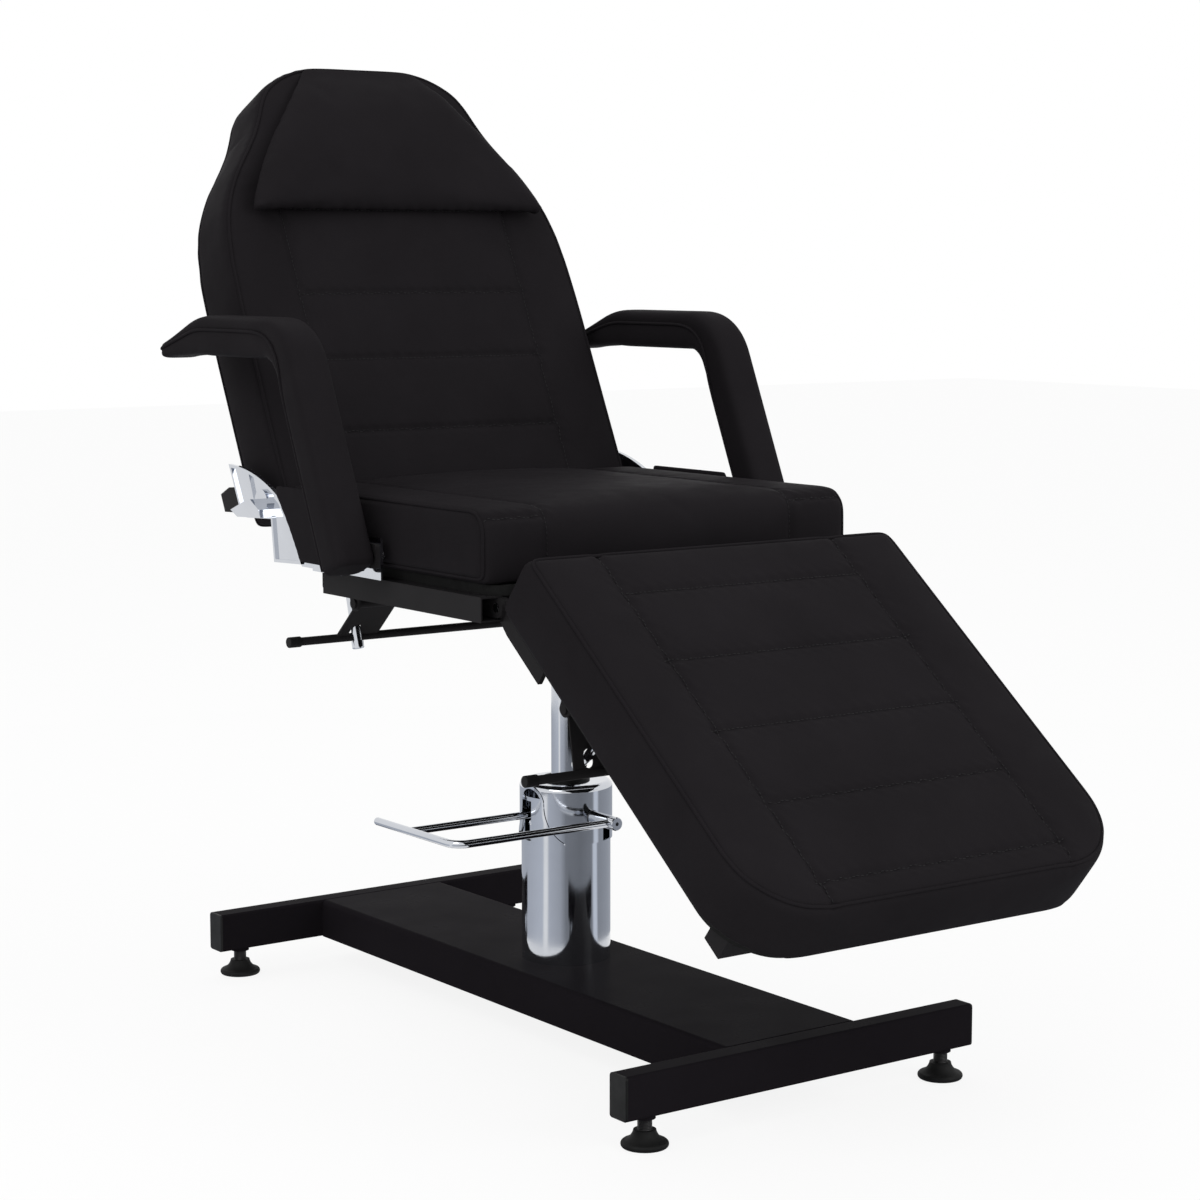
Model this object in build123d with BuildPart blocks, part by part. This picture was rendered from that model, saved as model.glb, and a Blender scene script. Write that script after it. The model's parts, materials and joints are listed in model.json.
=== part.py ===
from build123d import *
import os
from math import cos, radians, sin, tan

# The floor is z = 0 and the pump axis is x = y = 0. The sitter faces -Y, with the left side on +X.

# Fits shared by all pieces
cut_overrun = 5.0
running_clearance = 0.05
seat_gap = 0.3

# Base: two cross tubes joined by a folded plate
base_width = 520.0
base_depth = 974.0
base_tube_height = 52.0
base_tube_depth = 32.0
base_tube_wall = 2.0
base_tube_corner = 4.0
base_clearance = 37.0
cap_thickness = 3.0
cap_plug_depth = 12.0
plate_width = 202.0
plate_sheet = 3.0
plate_bend_radius = 7.0

# Levelling feet
foot_inset = 35.0
foot_pad_radius = 27.5
foot_pad_height = 20.0
foot_pad_edge = 7.0
foot_neck_radius = 13.0
foot_dome_share = 0.62
foot_stem_radius = 8.5
foot_stem_length = 50.0
bush_radius = 12.5
bush_length = 28.0
bush_drop = 4.0

# Pump
cover_radius = 60.0
cover_wall = 2.0
cover_top_radius = 8.0
cover_top = 322.5
cover_split = 247.5
lower_cover_top = 305.0
pump_barrel_radius = 40.0
pump_bore_radius = 32.0
pump_floor_thickness = 12.0
pump_flange_radius = 54.5
pump_flange_thickness = 8.0
pump_bolt_circle = 47.0
pump_gland_depth = 18.5
guide_radius = 24.0
guide_lip_radius = 31.0
guide_lip_height = 3.5
piston_radius = 19.0
piston_head_height = 15.0
piston_bottom = 240.0

# Hexagon bolts
bolt_radius = 4.0
bolt_head_radius = 7.0
bolt_head_height = 5.3
bolt_length = 14.0

# Cover openings: a bell-shaped arch for the pedal rod and a notch at the lower edge
arch_azimuth = 186.0
arch_width = 36.0
arch_foot_width = 82.0
arch_top = 317.0
arch_lip_width = 3.5
arch_lip_height = 1.3
notch_azimuth = -64.0
notch_width = 18.0
notch_height = 20.5
rod_slot_height = 52.0
rod_slot_margin = 4.0

# Pump pedal
pedal_height = 281.0
pedal_rod_radius = 5.0
pedal_reach = 235.0
pedal_bend_radius = 18.0
pedal_front = 100.0
pedal_tip = 85.0
pedal_rear_rod = 5.0
pedal_rear_end = 47.0
hub_radius = 8.75
hub_front = 112.0
hub_back = 62.0
hub_end_wall = 4.0
hub_end_hole = 2.5
axle_radius = 5.5
axle_boss_radius = 9.0

# Plunger worked by the pedal
plunger_offset = 49.0
plunger_radius = 4.0
plunger_head_radius = 5.0
plunger_gap = 1.0
plunger_length = 80.0
plunger_barrel_radius = 5.5
plunger_barrel_top = 236.0
plunger_bore_depth = 90.0

# Swivel hub and plate under the seat
seat_plate_bottom = 565.0
seat_plate_thickness = 6.0
seat_plate_width = 200.0
seat_plate_depth = 176.0
swivel_hub_radius = 28.0
swivel_hub_length = 65.0
swivel_flange_radius = 46.0
swivel_flange_thickness = 8.0

# Seat frame
frame_tube = 30.0
frame_wall = 2.0
seat_half_frame = 280.0
seat_rail_front = -226.0
seat_rail_back = 134.6
front_cross_place = -175.0
mid_cross_place = 70.0
inner_rail_centre = 190.0
inner_rail_width = 30.0
inner_rail_height = 25.0

# Seat upholstery
board_thickness = 12.0
seat_board_half_width = 262.0
seat_board_back = 176.0
board_corner = 20.0
seat_half_width = 283.0
seat_front = -231.0
seat_thickness = 98.0
seat_front_radius = 30.0
seat_edge_radius = 12.0
seat_back_gap = 6.8

# Back: its axes lean with it, from the pivot
back_pivot_y = 251.0
back_pivot_z = 680.0
back_lean = 25.18
back_face = 25.1
back_thickness = 105.0
back_bottom = -14.2
back_length = 650.0
back_half_width = 280.0
back_shoulder_half_width = 281.0
back_edge_radius = 14.0
back_board_inset = 22.0
back_frame_start = 30.0
back_frame_end = 515.0
back_tube = 25.0
back_rail_centre = 150.0
back_mid_cross_place = 300.0
back_mid_cross_half = 230.0
back_cross_half = 286.5
hinge_arm_thickness = 5.0
hinge_arm_radius = 17.0
hinge_pin_radius = 8.0
hinge_pin_end = 300.0

# Head pillow on the back's face
pillow_bottom = 390.0
pillow_length = 238.0
pillow_half_width = 235.0
pillow_top_half_width = 98.0
pillow_thickness = 36.0
pillow_top_thickness = 14.0
pillow_edge_radius = 10.0

# Chromed side brackets that carry the back and the arms
bracket_inner = 294.5
bracket_sheet = 3.0
bracket_rim_height = 3.0
bracket_rim_width = 4.0
bracket_reach = 90.0
bracket_bottom = 604.0
bracket_front = -34.0
bracket_front_top = 655.0
bracket_tab_front = 60.0
bracket_tab_back = 130.0
bracket_tab_inner = 265.5
bracket_boss_radius = 16.0
bracket_boss_height = 2.5
bracket_block_height = 17.5

# Armrests
arm_centre = 332.0
arm_width = 56.0
arm_depth = 52.0
arm_corner = 18.0
arm_end_radius = 16.0
arm_foot_y = -17.0
arm_foot_z = 617.0
arm_elbow_y = 105.0
arm_top_z = 892.5
arm_drop_y = 318.0
arm_tip_y = 424.0
arm_tip_z = 868.0
arm_elbow_radius = 62.0
arm_drop_radius = 150.0
arm_core_radius = 9.0
arm_core_margin = 32.0
arm_stub_rise = 16.0
arm_plate_thickness = 5.8
arm_plate_front = -32.0
arm_plate_back = 12.0
arm_plate_bottom = 618.0
arm_plate_top = 648.0
arm_bolt_offset = 14.5

# Upholstered side panels between the arms and the brackets
panel_thickness = 9.0
panel_gap = 1.0
panel_bottom = 608.0
panel_top = 705.0

# Leg rest: its axes follow it, from the hinge
leg_hinge_y = -222.0
leg_hinge_z = 587.0
leg_drop = 38.0
leg_start = 19.8
leg_length = 560.0
leg_half_width = 280.0
leg_foot_corner = 100.0
leg_head_corner = 12.0
leg_thickness = 93.0
leg_edge_radius = 14.0
leg_frame_top = 12.5
leg_frame_start = 30.0
leg_frame_end = 525.0
leg_board_inset = 20.0
leg_lug_radius = 12.4
leg_lug_thickness = 6.0
leg_lug_length = 40.0
leg_tongue_length = 110.0
leg_pin_radius = 6.0
leg_pin_head_radius = 9.0
leg_pin_head_height = 4.0

# Release levers and lock rods, the same under the back and under the leg rest
lever_pivot_drop = 21.0
back_lever_y = 165.0
leg_lever_place = 133.5
lever_reach = 57.0
lever_drop = 52.0
lever_bar_radius = 5.5
lever_bar_half = 280.0
lever_paddle_inner = 150.0
lever_paddle_outer = 212.0
lever_paddle_sheet = 2.5
lever_knuckle_radius = 6.5
lever_pin_radius = 4.0
lever_pin_head_radius = 6.5
lever_pin_head_height = 3.0
ear_sheet = 3.0
ear_radius = 10.0
ear_gap = 1.0
ear_half_length = 15.0
grip_radius = 7.0
grip_length = 18.0
grip_end_wall = 2.0
rod_radius = 6.25
rod_lean = 15.6
rod_share = 0.74
rod_nut_radius = 8.0
rod_nut_length = 10.0
rod_nut_drop = 17.0
rod_top = 40.0
rod_slot_width = 13.5
rod_slot_back = 8.5
rod_slot_ahead = 14.0
housing_start = 35.0
housing_length = 65.0
housing_below = 11.0
housing_above = 25.0
housing_roof = 4.0

# Outline shares: back outline as (share of shoulder width, share of length)
back_outline_shares = ((0.993, 0.483), (0.929, 0.668), (0.815, 0.76), (0.67, 0.853), (0.56, 0.942), (0.45, 0.975))
bracket_arc_shares = ((0.93, 0.472), (0.033, 0.311), (-0.422, 0.111), (-0.70, -0.23), (-1.078, -0.811))
bracket_foot_share = -0.311
bracket_rear_shares = ((-0.233, -0.233), (0.467, -0.267), (0.667, -0.178), (1.0, 0.478))
bracket_block_shares = ((0.667, -0.156), (0.178, 0.022), (0.078, 0.033), (-0.167, -0.10),
                        (-0.222, -0.211), (0.467, -0.245))
bracket_rib_shares = ((0.41, 0.40), (0.256, 0.0), (0.311, -0.02), (0.465, 0.38))
pillow_side_shares = ((0.86, 0.34), (0.64, 0.66))
tab_bolt_shares = (0.25, 0.75)
soft_end_share = 0.6

os.makedirs("parts", exist_ok=True)

base_top = base_clearance + base_tube_height
tube_centre = (base_depth - base_tube_depth) / 2
frame_bottom = seat_plate_bottom + seat_plate_thickness
frame_top = frame_bottom + frame_tube
cushion_bottom = frame_top + board_thickness
seat_top = cushion_bottom + seat_thickness
lower_cover_radius = cover_radius - cover_wall - seat_gap

back_up = Vector(0, sin(radians(back_lean)), cos(radians(back_lean)))
back_out = Vector(0, -cos(radians(back_lean)), sin(radians(back_lean)))
leg_along = Vector(0, -cos(radians(leg_drop)), -sin(radians(leg_drop)))
leg_out = Vector(0, -sin(radians(leg_drop)), cos(radians(leg_drop)))
back_pivot = Vector(0, back_pivot_y, back_pivot_z)
leg_hinge = Vector(0, leg_hinge_y, leg_hinge_z)

back_side = Plane(origin=back_pivot, x_dir=back_up, z_dir=(1, 0, 0))
back_plane = Plane(origin=back_pivot, x_dir=(1, 0, 0), z_dir=back_out)
pivot_side = Plane(origin=back_pivot, x_dir=(0, 1, 0), z_dir=(1, 0, 0))
leg_side = Plane(origin=leg_hinge, x_dir=leg_along, z_dir=(-1, 0, 0))
leg_plane = Plane(origin=leg_hinge, x_dir=(-1, 0, 0), z_dir=leg_out)
leg_frame_bottom = leg_frame_top - frame_tube


def save(piece, name):
    """Label one finished piece and write it."""
    piece.part.label = name
    export_step(piece.part, f"parts/{name}.step")


def hex_bolt(plane, places, length):
    """Hexagon bolts with heads on the plane and shanks that run against its normal."""
    with BuildPart() as bolts:
        with BuildSketch(plane):
            with Locations(*places):
                RegularPolygon(bolt_head_radius, 6)
        extrude(amount=bolt_head_height)
        head_faces = bolts.faces().sort_by(Axis(plane.origin, plane.z_dir))[-len(places):]
        chamfer(head_faces.edges(), bolt_head_height / 6)
        with BuildSketch(plane):
            with Locations(*places):
                Circle(bolt_radius)
        extrude(amount=-length)
    return bolts


# Cross tubes with openings for the foot bushes
bush_places = [(side * (base_width / 2 - foot_inset), 0) for side in (-1, 1)]


def cross_tube(centre):
    """A hollow rectangular tube along X."""
    with BuildPart() as tube:
        with BuildSketch(Plane.YZ.offset(-base_width / 2)):
            with Locations((centre, base_clearance + base_tube_height / 2)):
                RectangleRounded(base_tube_depth, base_tube_height, base_tube_corner)
                RectangleRounded(base_tube_depth - 2 * base_tube_wall, base_tube_height - 2 * base_tube_wall,
                                 base_tube_corner - base_tube_wall, mode=Mode.SUBTRACT)
        extrude(amount=base_width)
        with BuildSketch(Plane.XY.offset(base_clearance - cut_overrun)):
            with Locations(*[(x, centre) for x, y in bush_places]):
                Circle(bush_radius)
        extrude(amount=base_tube_wall + 2 * cut_overrun, mode=Mode.SUBTRACT)
    return tube


front_cross_tube = cross_tube(-tube_centre)
save(front_cross_tube, "front_cross_tube")
rear_cross_tube = cross_tube(tube_centre)
save(rear_cross_tube, "rear_cross_tube")

with BuildPart() as tube_end_caps:
    for side in (-1, 1):
        with BuildSketch(Plane.YZ.offset(side * base_width / 2)):
            with Locations(*[(end * tube_centre, base_clearance + base_tube_height / 2) for end in (-1, 1)]):
                RectangleRounded(base_tube_depth, base_tube_height, base_tube_corner)
        extrude(amount=side * cap_thickness)
        with BuildSketch(Plane.YZ.offset(side * base_width / 2)):
            with Locations(*[(end * tube_centre, base_clearance + base_tube_height / 2) for end in (-1, 1)]):
                RectangleRounded(base_tube_depth - 2 * base_tube_wall - 2 * seat_gap,
                                 base_tube_height - 2 * base_tube_wall - 2 * seat_gap,
                                 base_tube_corner - base_tube_wall)
        extrude(amount=-side * cap_plug_depth)
    chamfer(tube_end_caps.faces().filter_by(Axis.X).group_by(Axis.X)[0].edges(), cap_thickness / 3)
    chamfer(tube_end_caps.faces().filter_by(Axis.X).group_by(Axis.X)[-1].edges(), cap_thickness / 3)
save(tube_end_caps, "tube_end_caps")

# Base plate: a channel with its skirts down, between the cross tubes
pump_bolt_places = [(pump_bolt_circle * cos(radians(angle)), pump_bolt_circle * sin(radians(angle)))
                    for angle in (45, 135, 225, 315)]
with BuildPart() as base_plate:
    with BuildSketch(Plane.XZ) as channel:
        with Locations((0, base_top - base_tube_height / 2)):
            Rectangle(plate_width, base_tube_height)
        fillet(channel.vertices().group_by(Axis.Y)[-1], plate_bend_radius)
    extrude(amount=base_depth / 2 - base_tube_depth, both=True)
    open_sides = base_plate.faces().filter_by(Axis.Y) + base_plate.faces().sort_by(Axis.Z)[:1]
    offset(amount=-plate_sheet, openings=open_sides)
    with BuildSketch(Plane.XY.offset(base_top + cut_overrun)):
        with Locations(*pump_bolt_places):
            Circle(bolt_radius)
    extrude(amount=-plate_sheet - 2 * cut_overrun, mode=Mode.SUBTRACT)
save(base_plate, "base_plate")

foot_places = {"front_right": (-1, -1), "front_left": (1, -1), "rear_right": (-1, 1), "rear_left": (1, 1)}
with BuildPart() as foot_bushes:
    for side, end in foot_places.values():
        with BuildSketch(Plane.XY.offset(base_clearance - bush_drop)):
            with Locations((side * (base_width / 2 - foot_inset), end * tube_centre)):
                Circle(bush_radius)
                Circle(foot_stem_radius + running_clearance, mode=Mode.SUBTRACT)
        extrude(amount=bush_length)
save(foot_bushes, "foot_bushes")

for name, (side, end) in foot_places.items():
    foot_x = side * (base_width / 2 - foot_inset)
    foot_y = end * tube_centre
    with BuildPart() as foot_pad:
        with BuildSketch(Plane(origin=(foot_x, foot_y, 0), x_dir=(1, 0, 0), z_dir=(0, -1, 0))):
            with BuildLine():
                base_line = Line((0, 0), (foot_pad_radius - foot_pad_edge / 4, 0))
                edge_arc = ThreePointArc(base_line @ 1, (foot_pad_radius, foot_pad_edge / 2),
                                         (foot_pad_radius - foot_pad_edge / 3, foot_pad_edge))
                top_arc = ThreePointArc(edge_arc @ 1, (foot_neck_radius + foot_pad_edge / 2,
                                                       foot_dome_share * foot_pad_height),
                                        (foot_neck_radius, foot_pad_height))
                Polyline(top_arc @ 1, (0, foot_pad_height), (0, 0))
            make_face()
        revolve(axis=Axis((foot_x, foot_y, 0), (0, 0, 1)))
    save(foot_pad, f"foot_pad_{name}")
    with BuildPart() as foot_stem:
        with BuildSketch(Plane.XY.offset(foot_pad_height)):
            with Locations((foot_x, foot_y)):
                Circle(foot_stem_radius)
        extrude(amount=foot_stem_length)
        chamfer(foot_stem.faces().sort_by(Axis.Z)[-1].edges(), foot_stem_radius / 8)
    save(foot_stem, f"foot_stem_{name}")

# Pump body: flange, barrel, gland seat and the small barrel of the pedal's plunger
body_top = cover_top - cover_wall
with BuildPart() as pump_body:
    with BuildSketch(Plane.XY.offset(base_top)):
        Circle(pump_flange_radius)
    extrude(amount=pump_flange_thickness)
    with BuildSketch(Plane.XY.offset(base_top)):
        Circle(pump_barrel_radius)
    extrude(amount=body_top - base_top)
    with BuildSketch(Plane.XY.offset(base_top)):
        with Locations((-plunger_offset, pedal_rear_rod)):
            Circle(plunger_barrel_radius)
        with Locations((-plunger_offset / 2, pedal_rear_rod)):
            Rectangle(plunger_offset, 2 * plunger_barrel_radius)
    extrude(amount=plunger_barrel_top - base_top)
    with BuildSketch(Plane.XZ.offset(pump_barrel_radius / 2)):
        with Locations((0, pedal_height)):
            Circle(axle_boss_radius)
    extrude(amount=hub_back - seat_gap - pump_barrel_radius / 2)
    with BuildSketch(Plane.XY.offset(base_top + pump_floor_thickness)):
        Circle(pump_bore_radius)
    extrude(amount=body_top - pump_gland_depth - base_top - pump_floor_thickness, mode=Mode.SUBTRACT)
    with BuildSketch(Plane.XY.offset(body_top + cut_overrun)):
        Circle(guide_radius)
    extrude(amount=-pump_gland_depth - 2 * cut_overrun, mode=Mode.SUBTRACT)
    with BuildSketch(Plane.XY.offset(plunger_barrel_top + cut_overrun)):
        with Locations((-plunger_offset, pedal_rear_rod)):
            Circle(plunger_radius + running_clearance)
    extrude(amount=-plunger_bore_depth - cut_overrun, mode=Mode.SUBTRACT)
    with BuildSketch(Plane.XZ.offset(hub_back + cut_overrun)):
        with Locations((0, pedal_height)):
            Circle(axle_radius)
    extrude(amount=-hub_back - cut_overrun + pump_bore_radius + cover_wall, mode=Mode.SUBTRACT)
    with BuildSketch(Plane.XY.offset(base_top - cut_overrun)):
        with Locations(*pump_bolt_places):
            Circle(bolt_radius)
    extrude(amount=pump_flange_thickness + 2 * cut_overrun, mode=Mode.SUBTRACT)
save(pump_body, "pump_body")

bolt_grip = pump_flange_thickness + plate_sheet
pump_bolts = hex_bolt(Plane.XY.offset(base_top + pump_flange_thickness), pump_bolt_places,
                      bolt_grip + bolt_length / 2)
save(pump_bolts, "pump_bolts")

with BuildPart() as piston_guide:
    with BuildSketch(Plane.XY.offset(body_top - pump_gland_depth)):
        Circle(guide_radius)
    extrude(amount=pump_gland_depth + cover_wall)
    with BuildSketch(Plane.XY.offset(cover_top)):
        Circle(guide_lip_radius)
    extrude(amount=guide_lip_height)
    chamfer(piston_guide.faces().sort_by(Axis.Z)[-1].edges(), guide_lip_height / 3)
    with BuildSketch(Plane.XY.offset(body_top - pump_gland_depth - cut_overrun)):
        Circle(piston_radius + running_clearance)
    extrude(amount=pump_gland_depth + cover_wall + guide_lip_height + 2 * cut_overrun, mode=Mode.SUBTRACT)
save(piston_guide, "piston_guide")

# Pump covers: the arch and the notch are cut from outside, by their azimuths round the pump
def radial_plane(azimuth):
    """The upright plane through the pump axis that faces an azimuth."""
    return Plane(origin=(0, 0, 0), x_dir=(-sin(radians(azimuth)), cos(radians(azimuth)), 0),
                 z_dir=(cos(radians(azimuth)), sin(radians(azimuth)), 0))


with BuildSketch() as arch_outline:
    with BuildLine():
        shoulder = arch_top - arch_width / 2
        crown = ThreePointArc((-arch_width / 2, shoulder), (0, arch_top), (arch_width / 2, shoulder))
        flare = TangentArc(crown @ 1, (arch_foot_width / 2, cover_split), tangent=(0, -1))
        other_flare = TangentArc(crown @ 0, (-arch_foot_width / 2, cover_split), tangent=(0, -1))
        Polyline(flare @ 1, (arch_foot_width / 2, cover_split - cut_overrun),
                 (-arch_foot_width / 2, cover_split - cut_overrun), other_flare @ 1)
    make_face()

with BuildSketch() as arch_band:
    add(arch_outline.sketch)
    offset(amount=arch_lip_width)
    add(arch_outline.sketch, mode=Mode.SUBTRACT)

with BuildPart() as arch_rim:
    extrude(radial_plane(arch_azimuth) * arch_band.sketch, amount=cover_radius + cut_overrun)
    with BuildSketch(Plane.XY.offset(cover_split)):
        Circle(cover_radius + arch_lip_height)
        Circle(cover_radius - cover_wall, mode=Mode.SUBTRACT)
    extrude(amount=cover_top - cover_split, mode=Mode.INTERSECT)

with BuildSketch() as notch_outline:
    with Locations((0, cover_split)):
        Rectangle(notch_width, notch_height, align=(Align.CENTER, Align.MIN))

with BuildPart() as lower_cover:
    with BuildSketch(Plane.XY.offset(base_top)):
        Circle(lower_cover_radius)
        Circle(lower_cover_radius - cover_wall, mode=Mode.SUBTRACT)
    extrude(amount=lower_cover_top - base_top)
    extrude(radial_plane(notch_azimuth) * notch_outline.sketch, amount=cover_radius, mode=Mode.SUBTRACT)
    with BuildSketch(Plane.YZ.offset(-cover_radius)):
        with Locations((pedal_rear_rod, cover_split)):
            Rectangle(2 * (pedal_rod_radius + rod_slot_margin), rod_slot_height,
                      align=(Align.CENTER, Align.MIN))
    extrude(amount=cover_radius - pump_barrel_radius / 2, mode=Mode.SUBTRACT)
    with BuildSketch(Plane.XZ):
        with Locations((0, pedal_height)):
            Circle(axle_boss_radius + seat_gap)
    extrude(amount=cover_radius, mode=Mode.SUBTRACT)
save(lower_cover, "lower_cover")

with BuildPart() as upper_cover:
    with BuildSketch(Plane.XY.offset(cover_split)):
        Circle(cover_radius)
    extrude(amount=cover_top - cover_split)
    fillet(upper_cover.faces().sort_by(Axis.Z)[-1].edges(), cover_top_radius)
    offset(amount=-cover_wall, openings=upper_cover.faces().sort_by(Axis.Z)[0])
    with BuildSketch(Plane.XY.offset(cover_top + cut_overrun)):
        Circle(guide_radius)
    extrude(amount=-cover_wall - 2 * cut_overrun, mode=Mode.SUBTRACT)
    cut_reach = cover_radius + cut_overrun
    extrude(radial_plane(arch_azimuth) * arch_outline.sketch, amount=cut_reach, mode=Mode.SUBTRACT)
    extrude(radial_plane(notch_azimuth) * notch_outline.sketch, amount=cut_reach, mode=Mode.SUBTRACT)
    with BuildSketch(Plane.XZ):
        with Locations((0, pedal_height)):
            Circle(axle_boss_radius + seat_gap)
    extrude(amount=cut_reach, mode=Mode.SUBTRACT)
    add(arch_rim.part)
save(upper_cover, "upper_cover")

# Pedal: a bent rod with a hub tube on the axle, and a second rod that reaches through the arch
with BuildPart() as pedal_axle:
    with BuildSketch(Plane.XZ.offset(pump_bore_radius + cover_wall)):
        with Locations((0, pedal_height)):
            Circle(axle_radius)
    extrude(amount=hub_front - hub_end_wall - seat_gap - pump_bore_radius - cover_wall)
save(pedal_axle, "pedal_axle")

with BuildPart() as pump_pedal:
    with BuildLine(Plane.XY.offset(pedal_height)):
        pedal_path = FilletPolyline((0, -pedal_front), (-pedal_reach, -pedal_front),
                                    (-pedal_reach, pedal_tip), radius=pedal_bend_radius)
    with BuildSketch(Plane(origin=pedal_path @ 0, z_dir=pedal_path % 0)):
        Circle(pedal_rod_radius)
    sweep(path=pedal_path)
    with BuildSketch(Plane.YZ.offset(-pedal_reach)):
        with Locations((pedal_rear_rod, pedal_height)):
            Circle(pedal_rod_radius)
    extrude(amount=pedal_reach - pedal_rear_end)
    fillet(pump_pedal.faces().sort_by(Axis.Y)[-1].edges(), soft_end_share * pedal_rod_radius)
    with BuildSketch(Plane.XZ.offset(hub_back)):
        with Locations((0, pedal_height)):
            Circle(hub_radius)
    extrude(amount=hub_front - hub_back)
    chamfer(pump_pedal.faces().sort_by(Axis.Y)[0].edges(), hub_end_wall / 4)
    with BuildSketch(Plane.XZ.offset(hub_back - cut_overrun)):
        with Locations((0, pedal_height)):
            Circle(axle_radius + running_clearance)
    extrude(amount=hub_front - hub_end_wall - hub_back + cut_overrun, mode=Mode.SUBTRACT)
    with BuildSketch(Plane.XZ.offset(hub_back)):
        with Locations((0, pedal_height)):
            Circle(hub_end_hole)
    extrude(amount=hub_front - hub_back + cut_overrun, mode=Mode.SUBTRACT)
save(pump_pedal, "pump_pedal")

with BuildPart() as plunger:
    head_centre = pedal_height - pedal_rod_radius - plunger_gap - plunger_head_radius
    with BuildSketch(Plane.XY.offset(head_centre)):
        with Locations((-plunger_offset, pedal_rear_rod)):
            Circle(plunger_radius)
    extrude(amount=-plunger_length)
    with Locations((-plunger_offset, pedal_rear_rod, head_centre)):
        Sphere(plunger_head_radius)
save(plunger, "plunger")

with BuildPart() as piston:
    with BuildSketch(Plane.XY.offset(piston_bottom)):
        Circle(piston_radius)
    extrude(amount=seat_plate_bottom - seat_gap - piston_bottom)
    chamfer(piston.faces().sort_by(Axis.Z)[-1].edges(), piston_radius / 12)
    with BuildSketch(Plane.XY.offset(piston_bottom)):
        Circle(pump_bore_radius - running_clearance)
    extrude(amount=piston_head_height)
save(piston, "piston")

# Swivel hub: a sleeve on the piston's top with a bolted flange under the seat plate
plate_bolt_places = [(side * mid_cross_place, end * mid_cross_place) for side in (-1, 1) for end in (-1, 1)]
with BuildPart() as swivel_hub:
    with BuildSketch(Plane.XY.offset(seat_plate_bottom)):
        Circle(swivel_flange_radius)
    extrude(amount=-swivel_flange_thickness)
    with BuildSketch(Plane.XY.offset(seat_plate_bottom)):
        Circle(swivel_hub_radius)
    extrude(amount=-swivel_hub_length)
    fillet(swivel_hub.edges().filter_by(GeomType.CIRCLE).filter_by(
        lambda edge: abs(edge.radius - swivel_hub_radius) < running_clearance).group_by(Axis.Z)[-1],
        swivel_flange_thickness / 2)
    with BuildSketch(Plane.XY.offset(seat_plate_bottom + cut_overrun)):
        Circle(piston_radius + running_clearance)
    extrude(amount=-swivel_hub_length - 2 * cut_overrun, mode=Mode.SUBTRACT)
save(swivel_hub, "swivel_hub")

with BuildPart() as seat_plate:
    with BuildSketch(Plane.XY.offset(seat_plate_bottom)):
        RectangleRounded(seat_plate_width, seat_plate_depth, swivel_flange_thickness)
        with Locations(*plate_bolt_places):
            Circle(bolt_radius, mode=Mode.SUBTRACT)
    extrude(amount=seat_plate_thickness)
save(seat_plate, "seat_plate")

plate_bolts = hex_bolt(Plane(origin=(0, 0, seat_plate_bottom), x_dir=(1, 0, 0), z_dir=(0, 0, -1)),
                       plate_bolt_places, bolt_length)
save(plate_bolts, "plate_bolts")


def hollow_frame(plane, height, tubes, open_ends):
    """Square tubes in one plan, as (x, y, width, length, along), hollow by the frame's wall."""
    with BuildPart() as frame:
        for wall in (0, frame_wall):
            with BuildSketch(plane.offset(wall)):
                for x, y, width, length in tubes:
                    with Locations((x, y)):
                        Rectangle(width - 2 * wall, length - 2 * wall)
                if wall:
                    for x, y, width, length in open_ends:
                        with Locations((x, y)):
                            Rectangle(width - 2 * wall, length)
            extrude(amount=height - 2 * wall, mode=Mode.SUBTRACT if wall else Mode.ADD)
    return frame


# Seat frame
side_rail_centre = seat_half_frame - frame_tube / 2
tab_bolt_places = [(side_rail_centre + bolt_head_radius,
                    bracket_tab_front + (bracket_tab_back - bracket_tab_front) * share)
                   for share in tab_bolt_shares]
side_rail_length = seat_rail_back - seat_rail_front
side_rail_middle = (seat_rail_back + seat_rail_front) / 2
rear_cross_place = seat_rail_back - frame_tube / 2
seat_tubes = [(side * side_rail_centre, side_rail_middle, frame_tube, side_rail_length) for side in (-1, 1)]
seat_tubes += [(0, place, 2 * seat_half_frame, frame_tube)
               for place in (front_cross_place, -mid_cross_place, mid_cross_place, rear_cross_place)]
seat_shell = hollow_frame(Plane.XY.offset(frame_bottom), frame_tube, seat_tubes,
                          [(x, y, width, length + cut_overrun) for x, y, width, length in seat_tubes[:2]])
lug_plane = Plane(origin=leg_hinge, x_dir=(0, 1, 0), z_dir=(1, 0, 0))
lug_inner = seat_half_frame - frame_tube
housing_reach = back_lever_y + housing_start
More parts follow.
